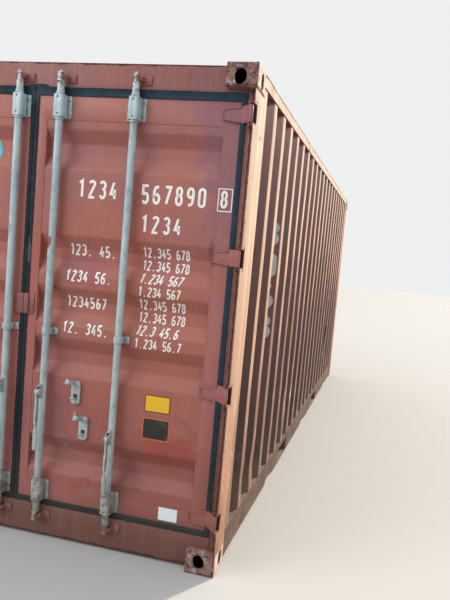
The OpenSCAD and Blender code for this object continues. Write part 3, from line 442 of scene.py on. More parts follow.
def rubber():
    """Perished door seal rubber with a dusty bloom."""
    g = Finish("seal_rubber")
    g.shader.inputs["Specular IOR Level"].default_value = 0.25
    tone = g.mix(SEAL.base, SEAL.blue, g.step(g.clouds(6, (1, 1, 0.4), shift=3), 0.35, 0.7))
    middle = g.step(g.calc("ABSOLUTE", g.y), 0.03, 0.07, 1, 0)
    middle = g.times(middle, g.step(g.z, 2.36, 2.40, 1, 0))
    tone = g.mix(tone, SEAL.middle, g.times(middle, 0.75))
    tone = g.mix(tone, SEAL.worn, g.times(g.blot(*WORN_SEAL, 0.6, 40), 0.7))
    tone = g.mix(tone, SEAL.bloom, g.step(g.clouds(16, detail=6, shift=8), 0.58, 0.8, 0, 0.25))
    tone = g.mix(tone, SEAL.low, g.step(g.z, 0.4, 1.9, 0.85, 0))
    height = g.calc("ADD", g.z, g.step(g.clouds(7, shift=1), 0, 1, -0.2, 0.2))
    tone = g.mix(tone, MUD, g.step(height, 0.05, 0.5, 0.16, 0))
    return g.done(tone, g.step(g.clouds(20, shift=5), 0.3, 0.7, 0.42, 0.7),
                  (g.clouds(8, (1, 1, 0.5), shift=2), 0.4, 0.004), (g.clouds(120), 0.15, 0.0005))


def plywood():
    """Trodden floor plywood, with its grain along the container."""
    g = Finish("floor_plywood")
    grain = g.clouds(30, (0.06, 1, 1), detail=8, shift=2)
    tone = g.mix(PLY.light, PLY.dark, g.step(grain, 0.35, 0.7))
    stains = g.clouds(2.2, (0.5, 1, 1), detail=7, shift=9)
    tone = g.mix(tone, PLY.stain, g.step(stains, 0.5, 0.7, 0, 0.6))
    return g.done(tone, g.step(grain, 0, 1, 0.6, 0.85), (grain, 0.4, 0.001))


def stencil(name, colour, wear):
    """Thin paint or film laid on a sheet, scratched through to the paint below."""
    g = Finish(name)
    worn = g.clouds(55, (1, 1, 0.5), detail=7, rough=0.75, shift=6)
    worn = g.step(worn, 0.64, 0.70, 0, wear)
    tone = g.mix(tint(colour), FILM.worn, worn)
    tone = g.mix(tone, FILM.dirt, g.step(g.clouds(12, shift=3), 0.55, 0.85, 0, 0.25))
    return g.done(tone, g.step(worn, 0, 1, 0.4, 0.65), (worn, 0.2, 0.0003))


DOOR_FACE = 2.969
FRESH_RED = "a8483c"
SCRATCH = "c9b8a8"
# Patches on the doors: centre, half sizes, colour and share
DOOR_BLOTS = [
    ((DOOR_FACE, 1.12, 2.25), (0.3, 0.20, 0.50), "94656e", 0.75),
    ((DOOR_FACE, 1.045, 1.665), (0.2, 0.022, 0.085), "85505c", 0.75),
    ((DOOR_FACE, 0.055, 1.60), (0.2, 0.045, 0.10), "b5604f", 0.3),
    ((DOOR_FACE, 0.90, 0.60), (0.2, 0.16, 0.10), FRESH_RED, 0.65),
    ((DOOR_FACE, 0.30, 0.36), (0.2, 0.17, 0.07), FRESH_RED, 0.55),
    ((DOOR_FACE, 0.66, 0.42), (0.2, 0.10, 0.10), "6d3630", 0.35),
    ((DOOR_FACE, 0.34, 1.52), (0.2, 0.14, 0.10), "9a5560", 0.5),
    ((DOOR_FACE, -0.62, 0.55), (0.2, 0.20, 0.15), FRESH_RED, 0.5),
    ((DOOR_FACE, -0.90, 1.80), (0.2, 0.16, 0.20), "8c555e", 0.5),
    ((DOOR_FACE, 0.95, 0.36), (0.2, 0.45, 0.36), "854d47", 0.3),
    ((DOOR_FACE, 0.15, 0.40), (0.2, 0.30, 0.40), "ad7470", 0.4),
    ((2.983, 0.0, 1.30), (0.02, 0.075, 0.075), "8c5a5c", 0.85),
    ((DOOR_FACE, 0.342, 0.725), (0.2, 0.009, 0.013), SCRATCH, 0.5),
    ((DOOR_FACE, 0.283, 0.535), (0.2, 0.007, 0.014), SCRATCH, 0.5),
]
# Rusty lines on the frame: axis, place, half width and share
FRAME_LINES = [(Z, 2.586, 0.010, 1.0), (Y, 1.196, 0.008, 0.9), (Y, -1.196, 0.008, 0.9),
               (Y, 1.176, 0.007, 0.55), (Y, -1.176, 0.007, 0.55), (Z, 0.014, 0.012, 0.8)]
# Dark shade in the posts' recesses beside the hinge pins
HINGE_Z = (0.284, 0.955, 1.650, 2.352)
HINGE_BLOTS = [((2.976, sign * 1.208, z), (0.012, 0.016, 0.064), "120c0b", 0.95)
               for sign in (1, -1) for z in HINGE_Z]

FRAME_TONES = "935d58", "985d56", "8c5e63"
DOOR_PAINT = paint("door_paint", "b06b64", "b26c5c", "a0686c", rust=0.1, dust=0.25, streak=0.18,
                   rough=0.42, deep="a1605a", blots=DOOR_BLOTS)
FRAME_PAINT = paint("frame_paint", *FRAME_TONES, rust=0.6, dust=0.4, streak=0.4, mud_to=0.3,
                    deep="744540", sunny=1.0, blots=HINGE_BLOTS, lines=FRAME_LINES)
# Painted shade: the bottom side rails are painted far darker than the frame, for the shade they lie in.
SHADED_RAIL_PAINT = paint("rail_painted_shade", "4d352f", "543a31", "45302c", rust=0.9, dust=0.4, streak=0.3,
                   mud_to=0.1)
FRONT_PAINT = paint("front_paint", "8d564d", "94594a", "7b4a4a", rust=0.7, dust=0.5, streak=0.7,
                    deep="70443c")
# The wall's folds get a colour of painted shade; its south faces get a painted sheen and a painted shadow.
WALL_PAINT = paint("wall_paint", "9c5f52", "a3644f", "8a5450", rust=0.3, dust=0.5, streak=0.6,
                   sunny=1.0, slope_shade="58302d")
ROOF_PAINT = paint("roof_paint", "96604f", "9d6a55", "845449", rust=0.9, dust=0.8, streak=0.3)
UNDER_PAINT = paint("underframe_paint", "4e3a33", "5a4034", "3d302d", rust=0.9, dust=0.7)
KEEPER_PAINT = paint("keeper_paint", *FRAME_TONES, rust=0.5, dust=0.3)
WELD = paint("weld_paint", "8f5a50", "925c4c", "855049", rust=1.6, dust=0.4, sunny=0.6)
CASTING = iron_paint("casting_steel", "95645f", 0.3, 0.9)
BOLT = iron_paint("bolt_steel", "a3b0b2", 1.2)
GEAR = gear_paint()
RUBBER = rubber()
PLYWOOD = plywood()

RODS = ("left_outer", "left_inner", "right_inner", "right_outer")
SIDES = ("left", "right")
# Finishes: slot in the record, material and nodes
LOOKS = [
    ("casting_steel", CASTING, ["top_corner_castings", "bottom_corner_castings"]),
    ("frame_paint", FRAME_PAINT, [
        "door_post_right", "door_post_left", "front_posts", "door_header", "door_sill",
        "hinge_lugs", "front_top_rail", "front_bottom_rail", "top_side_rails",
        "roof_corner_plates"]),
    ("frame_paint", SHADED_RAIL_PAINT, ["bottom_side_rails"]),
    ("frame_paint", KEEPER_PAINT, ["cam_keepers"]),
    ("underframe_paint", UNDER_PAINT, ["fork_pockets", "cross_members"]),
    ("wall_paint", WALL_PAINT, ["side_wall_left", "side_wall_right"]),
    ("wall_paint", FRONT_PAINT, ["front_wall"]),
    ("wall_paint", ROOF_PAINT, ["roof_panel"]),
    ("floor_plywood", PLYWOOD, ["floor_boards"]),
    ("door_paint", DOOR_PAINT,
     [s + n for s in SIDES for n in ("_door_frame", "_door_panel", "_hinge_blades")]),
    ("seal_rubber", RUBBER, [s + "_door_seal" for s in SIDES]),
    ("gear_paint", GEAR, [s + n for s in SIDES for n in ("_rod_brackets", "_handle_retainers")]
     + [r + n for r in RODS for n in ("_rod", "_handle", "_catch")]),
]
LOOK_OF = {name: (slot, material) for slot, material, names in LOOKS for name in names}
BODIES = frame["record"]["behaviour"]["bodies"]
BODY_OF = {name: body for body, names in BODIES.items() for name in names}


# Meshes

# Folds in degrees: the least that is rounded in a sheet and at an edge, and one turned right back
GENTLE = 12
SHARP = 35
FLAT_BACK = 180
CASTING_RADIUS = 0.014
HOLE_RADIUS = 0.0035
RIB_END = 1.055


def solid(node):
    """Welded copy of a CAD node's mesh, with its flat faces whole."""
    bm = bmesh.new()
    bm.from_mesh(NODES[node].data)
    bmesh.ops.remove_doubles(bm, verts=bm.verts, dist=2e-5)
    bmesh.ops.dissolve_limit(bm, angle_limit=math.radians(0.5), verts=bm.verts, edges=bm.edges)
    return bm


def fold(edge):
    """Angle between an edge's two faces in degrees, below zero where it is hollow."""
    return math.degrees(edge.calc_face_angle_signed(0)) if len(edge.link_faces) == 2 else 0


def round_edges(bm, width, segments, wanted, wear=1.0):
    """Rounds the edges that wanted picks and marks the new faces for wear."""
    mark = bm.loops.layers.float.get("edge") or bm.loops.layers.float.new("edge")
    picked = [e for e in bm.edges if wanted(e)]
    made = bmesh.ops.bevel(bm, geom=picked, offset=width, offset_type="OFFSET", segments=segments,
                           profile=0.5, affect="EDGES", clamp_overlap=False, material=-1)
    for face in made["faces"]:
        for loop in face.loops:
            loop[mark] = wear


def reach(bm, axis):
    """A mesh's lowest and highest place along an axis."""
    places = [v.co[axis] for v in bm.verts]
    return min(places), max(places)


def cut(bm, axis, at):
    """Cuts through a mesh, square to an axis."""
    whole = bm.verts[:] + bm.edges[:] + bm.faces[:]
    normal = Vector([float(i == axis) for i in range(3)])
    bmesh.ops.bisect_plane(bm, geom=whole, plane_co=normal * at, plane_no=normal, dist=1e-5)


def slice_up(bm, axis, step):
    """Cuts a mesh square to an axis, at even steps of about the given length."""
    low, high = reach(bm, axis)
    count = max(1, round((high - low) / step))
    for i in range(1, count):
        cut(bm, axis, low + (high - low) * i / count)


def cut_like(bm, axis, mesh):
    """Cuts a flat shape wherever a mesh has vertices along an axis, so that it can lie on it."""
    low, high = reach(bm, axis)
    for at in sorted({round(v.co[axis], 3) for v in mesh.vertices}):
        if low < at < high:
            cut(bm, axis, at)


def ramp(value, low, high):
    """Smooth step from 0 at low to 1 at high."""
    t = min(1.0, max(0.0, (value - low) / (high - low)))
    return t * t * (3 - 2 * t)


def rolling(x, y, seed):
    """Smooth noise from -1 to 1 over a plane."""
    return noise.noise(Vector((x, y, seed)))


def finish_mesh(bm, name, material, smooth=28):
    """Object from a bmesh, smooth over edges that fold less than the given angle."""
    bmesh.ops.remove_doubles(bm, verts=bm.verts, dist=1e-6)
    for edge in bm.edges:
        edge.smooth = abs(fold(edge)) < smooth
    for face in bm.faces:
        face.smooth = True
    mesh = bpy.data.meshes.new(name)
    bm.to_mesh(mesh)
    bm.free()
    mesh.materials.append(material)
    return add(bpy.data.objects.new(name, mesh))


def seat(obj, body, slot, *replaced):
    """Puts a piece on its body and hides the CAD nodes it stands for. Its finish slot is not used."""
    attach(obj, body)
    if replaced:
        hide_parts(*replaced)
    return obj


def skin(node, bm, smooth=28):
    """Seats a mesh that stands for one CAD node."""
    slot, material = LOOK_OF[node]
    return seat(finish_mesh(bm, node + "_skin", material, smooth), BODY_OF[node], slot, node)


def polish(node, width, segments):
    """Replaces a CAD node by its own shape with rounded edges."""
    bm = solid(node)
    round_edges(bm, width, segments, lambda e: SHARP < fold(e) < FLAT_BACK)
    skin(node, bm)


def castings(node):
    """Corner castings: broad rounding on the outer corners, less about the holes."""
    bm = solid(node)
    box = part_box(node)

    def flush(edge, axis):
        return all(min(abs(v.co[axis] - corner[axis]) for corner in box) < 0.0005
                   for v in edge.verts)

    def outer(edge):
        return sum(flush(edge, axis) for axis in (X, Y, Z)) > 1

    round_edges(bm, CASTING_RADIUS, 5, lambda e: fold(e) > SHARP and outer(e))
    round_edges(bm, HOLE_RADIUS, 2, lambda e: SHARP < fold(e) < 100 and not outer(e))
    skin(node, bm)


def hinge_blades(side):
    """Hinge blades with rounded edges, except about the ribs' thin ends, where there is no room."""
    node = side + "_hinge_blades"
    bm = solid(node)
    round_edges(bm, 0.0012, 2, lambda e: SHARP < fold(e) < FLAT_BACK
                and min(abs(v.co.y) for v in e.verts) > RIB_END)
    skin(node, bm)


def dress_nodes():
    """Gives the CAD nodes their finishes."""
    for _, material, names in LOOKS:
        for name in names:
            finishes = NODES[name].data.materials
            finishes.clear()
            finishes.append(material)


# Frame, walls and roof

# Edge radius and steps of the rigid nodes that are only rounded
ROUNDED = [
    (0.0018, 2, ["door_post_right", "door_post_left", "front_posts", "door_header", "door_sill",
                 "hinge_lugs", "cam_keepers"]),
    (0.0012, 2, [s + "_rod_brackets" for s in SIDES] + [r + "_rod" for r in RODS]),
    (0.0010, 2, [s + "_handle_retainers" for s in SIDES]
     + [r + n for r in RODS for n in ("_handle", "_catch")]),
    (0.0015, 2, [s + "_door_frame" for s in SIDES]),
    (0.0012, 1, ["front_top_rail", "front_bottom_rail", "top_side_rails", "roof_corner_plates",
                 "floor_boards"]),
]
# Middle of a fork pocket, and where the bottom rails and the end and roof sheets are held
POCKET_X = 1.025
RAIL_END = 2.78
SHEET_HALF_Y = 1.1
ROOF_HALF_X = 2.85


def round_folds(bm, radius, segments, most):
    """Rounds the folds of a sheet, hollow and proud alike, and leaves them unworn."""
    round_edges(bm, radius, segments, lambda e: GENTLE < abs(fold(e)) < most, 0.0)


def between(value, low, high, run):
    """1 well inside low..high, smoothly down to 0 at both ends."""
    return ramp(value, low, low + run) * (1 - ramp(value, high - run, high))


def side_dent(x, z, seed):
    """How far a side sheet is pushed in or out at a place, before its edges hold it."""
    broad = rolling(x * 1.3, z * 1.1, seed) * 0.004
    fine = rolling(x * 4.1, z * 2.3, seed + 7) * 0.0015
    knocks = max(0.0, rolling(x * 2.6, z * 2.2, seed + 13) - 0.35) * 0.045
    return broad + fine - knocks * (1 - ramp(z, 0.5, 1.3))


def side_wall(node, sign):
    """Side wall with rounded folds, dented, most of all low down."""
    bm = solid(node)
    round_folds(bm, 0.009, 3, 60)
    slice_up(bm, Z, 0.085)
    z0, z1 = reach(bm, Z)
    x1 = reach(bm, X)[1]
    for v in bm.verts:
        held = between(v.co.z, z0, z1, 0.16) * ramp(x1 - abs(v.co.x), 0, 0.15)
        v.co.y += sign * held * side_dent(v.co.x, v.co.z, 3.5 * sign)
    return skin(node, bm)


def bottom_rails():
    """Bottom side rails, knocked in here and there along their lower edge."""
    bm = solid("bottom_side_rails")
    round_edges(bm, 0.0012, 1, lambda e: SHARP < fold(e) < FLAT_BACK)
    slice_up(bm, X, 0.05)
    for v in bm.verts:
        sign = 1 if v.co.y > 0 else -1
        low = 1 - ramp(v.co.z, 0.02, 0.15)
        span = ramp(RAIL_END - abs(v.co.x), 0, 0.1) * ramp(abs(abs(v.co.x) - POCKET_X), 0.25, 0.35)
        knock = max(0.0, rolling(v.co.x * 2.9, sign * 4.0, 2.0) - 0.05) * 0.03
        v.co.y -= sign * span * low * knock
        v.co.z += span * low * rolling(v.co.x * 3.7, sign * 6.0, 9.0) * 0.005
    skin("bottom_side_rails", bm)


def front_wall():
    """Front wall with rounded folds, faintly bulged."""
    bm = solid("front_wall")
    round_folds(bm, 0.008, 3, 80)
    slice_up(bm, Z, 0.12)
    for v in bm.verts:
        held = ramp(v.co.z, 0.18, 0.4) * (1 - ramp(v.co.z, 2.3, 2.5))
        held *= ramp(SHEET_HALF_Y - abs(v.co.y), 0, 0.1)
        v.co.x += held * rolling(v.co.y * 1.7, v.co.z * 1.3, 21.0) * 0.004
    skin("front_wall", bm)


def roof():
    """Roof with rounded folds, sagging unevenly between its edges."""
    bm = solid("roof_panel")
    round_folds(bm, 0.004, 2, 80)
    slice_up(bm, Y, 0.14)
    for v in bm.verts:
        held = ramp(SHEET_HALF_Y - abs(v.co.y), 0, 0.15) * ramp(ROOF_HALF_X - abs(v.co.x), 0, 0.12)
        v.co.z -= held * (0.003 + 0.005 * rolling(v.co.x * 1.2, v.co.y * 1.6, 31.0))
    skin("roof_panel", bm)


# Doors

DOOR_SKINS = {}


def door_panel(side):
    """Door panel with rounded folds and a faint oil-canning."""
    node = side + "_door_panel"
    bm = solid(node)
    round_folds(bm, 0.007, 3, 60)
    slice_up(bm, Y, 0.06)
    slice_up(bm, Z, 0.06)
    y_ends, z_ends = reach(bm, Y), reach(bm, Z)
    for v in bm.verts:
        held = between(v.co.y, *y_ends, 0.12) * between(v.co.z, *z_ends, 0.12)
        v.co.x += held * (rolling(v.co.y * 2.1, v.co.z * 1.9, 5.0) * 0.0022 - 0.0012)
    DOOR_SKINS[node] = skin(node, bm)


# The stretch where the seal is torn beside the middle
TORN_LOW, TORN_HIGH = (1.50, 1.56), (1.70, 1.75)


def door_seal(side):
    """Seal with a wavy lip, its front face pushed about a little, torn beside the middle."""
    node = side + "_door_seal"
    inward = 1 if side == "right" else -1
    bm = solid(node)
    round_edges(bm, 0.0014, 2, lambda e: SHARP < fold(e) < FLAT_BACK, 0.0)
    slice_up(bm, Z, 0.022)
    slice_up(bm, Y, 0.030)
    z0, z1 = reach(bm, Z)
    for v in bm.verts:
        front = ramp(v.co.x, DOOR_FACE + 0.001, DOOR_FACE + 0.0035)
        along = v.co.z if z0 + 0.04 < v.co.z < z1 - 0.04 else v.co.y
        wave = rolling(along * 6.5, round(v.co.y, 1) * 3, 4.0) + 0.5 * rolling(along * 21, 0, 8.0)
        v.co.x += front * (0.0011 + 0.0018 * wave)
        if v.co.z > z1 - 0.0005 and v.co.x > DOOR_FACE - 0.0005:
            bulge = 1 - ramp(abs(v.co.y - 0.02), 0.03, 0.075)
            v.co.x += 0.0062 + 0.0012 * wave
            v.co.z += (0.0035 if front < 0.5 else 0.0115 + 0.014 * bulge) + 0.001 * wave
        middle = 1 - ramp(abs(v.co.y), 0.001, 0.02)
        torn = ramp(v.co.z, *TORN_LOW) * (1 - ramp(v.co.z, *TORN_HIGH))
        tatter = max(0.0, 0.5 + rolling(v.co.z * 60, v.co.z * 17, 2.0))
        v.co.y += inward * middle * front * torn * 0.010 * tatter
    skin(node, bm, 40)


# Figures and films


def surface_tree(obj):
    """An object's faces, for rays."""
    mesh = obj.data
    return BVHTree.FromPolygons([v.co for v in mesh.vertices],
                                [p.vertices[:] for p in mesh.polygons])


def lay_on_door(bm, side, lift):
    """Cuts a flat shape in the YZ plane at the panel's folds and lays it on the door's face."""
    panel = DOOR_SKINS[side + "_door_panel"]
    trees = [surface_tree(obj) for obj in (panel, NODES[side + "_door_frame"])]
    for axis in (Y, Z):
        cut_like(bm, axis, panel.data)
    for v in bm.verts:
        start = Vector((4, v.co.y, v.co.z))
        hits = [tree.ray_cast(start, Vector((-1, 0, 0)))[0] for tree in trees]
        v.co.x = max(hit.x for hit in hits if hit is not None) + lift


def flat_shapes(outlines):
    """Mesh in the YZ plane with one face for each outline."""
    bm = bmesh.new()
    for outline in outlines:
        bm.faces.new([bm.verts.new((0, y, z)) for y, z in outline])
    return bm


# Condensed stroke figures, a half as wide as high, by their centre lines in a cell one high
CELL_W = 0.43
STROKE = 0.14
LEFT, RIGHT, FOOT, TOP = STROKE / 2, CELL_W - STROKE / 2, STROKE / 2, 1 - STROKE / 2
MID = CELL_W / 2
ARM = RIGHT - MID


def bow(y, z, height, start, end, width=ARM):
    """Points of an elliptic arc about (y, z), angles in degrees."""
    count = max(3, int(abs(end - start) / 18))
    angles = [math.radians(start + (end - start) * i / count) for i in range(count + 1)]
    return [(y + width * math.cos(a), z + height * math.sin(a)) for a in angles]


FIGURES = {
    "0": [bow(MID, TOP - ARM, ARM, 0, 180) + bow(MID, FOOT + ARM, ARM, 180, 360)
          + [(RIGHT, TOP - ARM)]],
    "1": [[(MID - 0.13, TOP - 0.12), (MID + 0.03, TOP), (MID + 0.03, FOOT)]],
    "2": [bow(MID, TOP - ARM, ARM, 170, -25) + [(LEFT, FOOT + 0.05), (LEFT, FOOT), (RIGHT, FOOT)]],
    "3": [bow(MID, TOP - 0.19, 0.19, 155, -80) + bow(MID, FOOT + 0.24, 0.24, 80, -155)],
    "4": [[(MID + 0.02, TOP), (LEFT, 0.32), (RIGHT + 0.03, 0.32)],
          [(MID + 0.08, 0.56), (MID + 0.08, FOOT)]],
    "5": [[(RIGHT, TOP), (LEFT + 0.01, TOP), (LEFT, 0.52)]
          + bow(MID, FOOT + 0.23, 0.25, 125, -150)],
    "6": [[(RIGHT - 0.04, TOP - 0.02)] + bow(MID, FOOT + 0.42, 0.42, 115, 180)
          + [(LEFT, FOOT + 0.23)] + bow(MID, FOOT + 0.23, 0.23, 180, 540)],
    "7": [[(LEFT, TOP), (RIGHT, TOP), (MID - 0.07, FOOT)]],
    "8": [bow(MID, TOP - 0.19, 0.19, -90, 270, ARM * 0.9), bow(MID, FOOT + 0.245, 0.245, 90, 450)],
    "9": [[(LEFT + 0.04, FOOT + 0.02)] + bow(MID, TOP - 0.42, 0.42, -65, 0) + [(RIGHT, TOP - 0.23)]
          + bow(MID, TOP - 0.23, 0.23, 0, 360)],
    ".": [[(MID - 0.06, FOOT), (MID + 0.06, FOOT)]],
}


def ribbon(line, width):
    """Four-sided pieces of a band along a line of points, mitred at its corners."""
    points = [Vector(point) for point in line]
    runs = [(b - a).normalized() for a, b in zip(points, points[1:])]
    edges = []
    for i, point in enumerate(points):
        a, b = runs[max(i - 1, 0)], runs[min(i, len(runs) - 1)]
        aside = Vector((-a.y - b.y, a.x + b.x)) / max(0.4, 1 + a.dot(b)) * (width / 2)
        edges.append((point + aside, point - aside))
    return [(l0, r0, r1, l1) for (l0, r0), (l1, r1) in zip(edges, edges[1:])]


def figures(text, left, foot, height, pitch, slant=0.0):
    """Flat outlines of a line of figures in the YZ plane, from its lower left corner."""
    shapes = []
    for i, char in enumerate(text):
        for line in FIGURES.get(char, []):
            for piece in ribbon(line, STROKE):
                shapes.append([(left + i * pitch + (y + slant * z) * height, foot + z * height)
                               for y, z in piece])
    return shapes


PAINT_LIFT = 0.0007
FILM_LIFT = 0.0010
SECOND_FILM_LIFT = 0.0014
# Plain counting figures on the right door: text, left, foot, height and pitch
BIG_FIGURES = [("1234", 0.279, 1.893, 0.098, 0.0605), ("567890", 0.641, 1.887, 0.100, 0.0615),
               ("8", 1.068, 1.893, 0.088, 0.06), ("1234", 0.650, 1.737, 0.092, 0.0605)]
FIGURE_BOX = (1.054, 1.130, 1.876, 1.992, 0.005)
UPRIGHT, SLANTED = 0.06, 0.22
# Columns of small figures: rows, which are slanted, left, top row's foot, drop, height and pitch
COLUMNS = [
    (["123. 45.", "1234 56.", "1234567", "12. 345."], (), 0.236, 1.588, 0.1407, 0.062, 0.0345),
    (["12.345 678", "12.345 678", "1.234 567", "1.234 567", "12.345 678", "12.345 678",
      "12.3 45.6", "1.234 56.7"], (2, 6), 0.660, 1.612, 0.0686, 0.053, 0.0265),
]
# Figures one above the other on the right wall: first one's left and foot, drop and size
SIDE_TEXT = "3058"
SIDE_LEFT, SIDE_FOOT, SIDE_DROP, SIDE_HEIGHT, SIDE_WIDENING = 2.185, 1.745, 0.205, 0.165, 2.6


def rectangle(y0, y1, z0, z1):
    return [(y0, z0), (y1, z0), (y1, z1), (y0, z1)]


def box_outline(y0, y1, z0, z1, t):
    """Four bars round a rectangle, t wide."""
    return [rectangle(y0, y1, z0, z0 + t), rectangle(y0, y1, z1 - t, z1),
            rectangle(y0, y0 + t, z0 + t, z1 - t), rectangle(y1 - t, y1, z0 + t, z1 - t)]


def disc(y, z, radius):
    turns = [math.radians(10 * i) for i in range(36)]
    return [(y + radius * math.cos(a), z + radius * math.sin(a)) for a in turns]


def door_figures():
    """Plain figures on the right door."""
    shapes = [s for row in BIG_FIGURES for s in figures(*row)]
    for rows, slanted, left, foot, drop, height, pitch in COLUMNS:
        for i, text in enumerate(rows):
            slant = SLANTED if i in slanted else UPRIGHT
            shapes += figures(text, left, foot - drop * i, height, pitch, slant)
    bm = flat_shapes(shapes + box_outline(*FIGURE_BOX))
    lay_on_door(bm, "right", PAINT_LIFT)
    paint_on = finish_mesh(bm, "door_figures", stencil("stencil_white", "fbf9f4", 0.35))
    seat(paint_on, "right_door", "door_paint")


def side_figures(wall):
    """Plain figures one above the other on the right wall, laid over its folds."""
    shapes = [s for i, char in enumerate(SIDE_TEXT)
              for s in figures(char, 0, SIDE_FOOT - SIDE_DROP * i, SIDE_HEIGHT, 0)]
    bm = flat_shapes(shapes)
    for v in bm.verts:
        v.co.x, v.co.y = SIDE_LEFT - SIDE_WIDENING * v.co.y, 0
    for axis in (X, Z):
        cut_like(bm, axis, wall.data)
    tree = surface_tree(wall)
    for v in bm.verts:
        hit = tree.ray_cast(Vector((v.co.x, 2, v.co.z)), Vector((0, -1, 0)))[0]
        v.co.y = hit.y + PAINT_LIFT
    paint_on = finish_mesh(bm, "side_figures", stencil("stencil_grey", "9aa4a2", 0.35))
    seat(paint_on, "container", "wall_paint")


# Bare films on the doors: name, colour, outline, side and lift
FILMS = [
    ("label_border", "1b1a19", rectangle(0.748, 0.889, 0.803, 0.893), "right", FILM_LIFT),
    ("label_plate", "f2c023", rectangle(0.752, 0.885, 0.807, 0.889), "right", SECOND_FILM_LIFT),
    ("dark_film_border", "d2703a", rectangle(0.742, 0.896, 0.652, 0.770), "right", FILM_LIFT),
    ("dark_film", "1d1c1b", rectangle(0.748, 0.890, 0.658, 0.764), "right", SECOND_FILM_LIFT),
    ("white_sticker", "eef4f4", rectangle(0.872, 0.978, 0.228, 0.298), "right", FILM_LIFT),
    ("blue_disc", "3fb7cf", disc(-0.348, 2.108, 0.135), "left", FILM_LIFT),
]


def door_films():
    """Lays the bare films on the doors."""
    for name, colour, outline, side, lift in FILMS:
        bm = flat_shapes([outline])
        lay_on_door(bm, side, lift)
        seat(finish_mesh(bm, name, stencil(name, colour, 0.7)), side + "_door", "door_paint")


# Bolts, rivets and welds


# Rings of a domed head, in its radius and height
DOME_RINGS = [(1.0, -0.1), (1.0, 0.25), (0.82, 0.7), (0.45, 0.96)]
OUTWARD = Vector((1, 0, 0)).to_track_quat("Z", "Y").to_matrix().to_4x4()


def dome(bm, centre, radius, height, sides=12):
    """Domed head on a door's face."""
    place = Matrix.Translation(Vector(centre)) @ OUTWARD
    turns = [math.tau * i / sides for i in range(sides)]
    made = [[bm.verts.new(place @ Vector((radius * r * math.cos(a), radius * r * math.sin(a),
                                          height * h))) for a in turns] for r, h in DOME_RINGS]
    for low, high in zip(made, made[1:]):
        for i in range(sides):
            bm.faces.new((low[i], low[(i + 1) % sides], high[(i + 1) % sides], high[i]))
    bm.faces.new(made[-1])


JOINTS = {j["name"]: j["pos_m"] for j in frame["joints"]}
FLANGE_FRONT = DOOR_FACE + 0.005
RETAINER_FRONT = DOOR_FACE + 0.010
HALF_BEARING = 0.058
GUIDE_Z = 1.169
# Bolts about a bearing's middle, and beside a guide's
BEARING_BOLTS = [(dy, dz) for dy in (-0.0405, 0.0405) for dz in (-0.037, 0.037)]
GUIDE_BOLT_Y = 0.038
# Rivets of a retainer: from the catch's pin along Y, and from the hub up
RETAINER_RIVETS = [(-0.014, -0.043), (-0.022, 0.054)]
# Pressed dots of the overlap plate: distance from the middle and heights
LAP_DOT_Y = 0.047
LAP_DOT_Z = (1.27, 1.33)
LAP_FRONT = {"right": DOOR_FACE + 0.005, "left": DOOR_FACE + 0.014}


def gear_bolts(side):
    """Domed bolts on the rod brackets and rivets on the handle retainers of one door."""
    bm = bmesh.new()
    low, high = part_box(side + "_rod_brackets")
    for rod in [r for r in RODS if r.startswith(side)]:
        y = JOINTS[rod + "_rod_turn"][Y]
        for z in (low[Z] + HALF_BEARING, high[Z] - HALF_BEARING):
            for dy, dz in BEARING_BOLTS:
                dome(bm, (FLANGE_FRONT, y + dy, z + dz), 0.0075, 0.005)
        dome(bm, (FLANGE_FRONT, y + GUIDE_BOLT_Y, GUIDE_Z), 0.007, 0.005)
        catch_y = JOINTS[rod + "_catch_swing"][Y]
        hub_z = JOINTS[rod + "_handle_lift"][Z]
        for dy, dz in RETAINER_RIVETS:
            dome(bm, (RETAINER_FRONT, catch_y + dy, hub_z + dz), 0.007, 0.004)
    seat(finish_mesh(bm, side + "_gear_bolts", BOLT, 50), side + "_door", "gear_paint")


def lap_dots():
    """Two pressed dots on each half of the overlap plate."""
    for side, sign in (("right", 1), ("left", -1)):
        bm = bmesh.new()
        for z in LAP_DOT_Z:
            dome(bm, (LAP_FRONT[side], sign * LAP_DOT_Y, z), 0.006, 0.003)
        seat(finish_mesh(bm, side + "_lap_dots", DOOR_PAINT, 50), side + "_door", "door_paint")


def bead(bm, path, radius, sides=5, step=0.012, seed=1.0):
    """Weld along a path: a lumpy tube, half sunk in the metal."""
    points = []
    for a, b in zip(path, path[1:]):
        a, b = Vector(a), Vector(b)
        count = max(1, round((b - a).length / step))
        points += [a.lerp(b, i / count) for i in range(count)]
    points.append(Vector(path[-1]))
    rings = []
    for i, point in enumerate(points):
        along = (points[min(i + 1, len(points) - 1)] - points[max(i - 1, 0)]).normalized()
        aside = along.orthogonal().normalized()
        over = along.cross(aside)
        r = radius * (0.9 + 0.35 * rolling(point.length * 55, i * 0.9, seed))
        turns = [math.tau * k / sides for k in range(sides)]
        rings.append([bm.verts.new(point + (aside * math.cos(a) + over * math.sin(a)) * r)
                      for a in turns])
    for low, high in zip(rings, rings[1:]):
        for k in range(sides):
            bm.faces.new((low[k], low[(k + 1) % sides], high[(k + 1) % sides], high[k]))
    bm.faces.new(rings[0])
    bm.faces.new(rings[-1])


# Where the weld beads run: how far the front posts reach in from the side and along it,
# how far a bead cuts its corner, and where header and sill end
POST_WIDTH, POST_DEPTH = 0.096, 0.170
CUT_CORNER = 0.004
CROSS_END_Y = 1.057


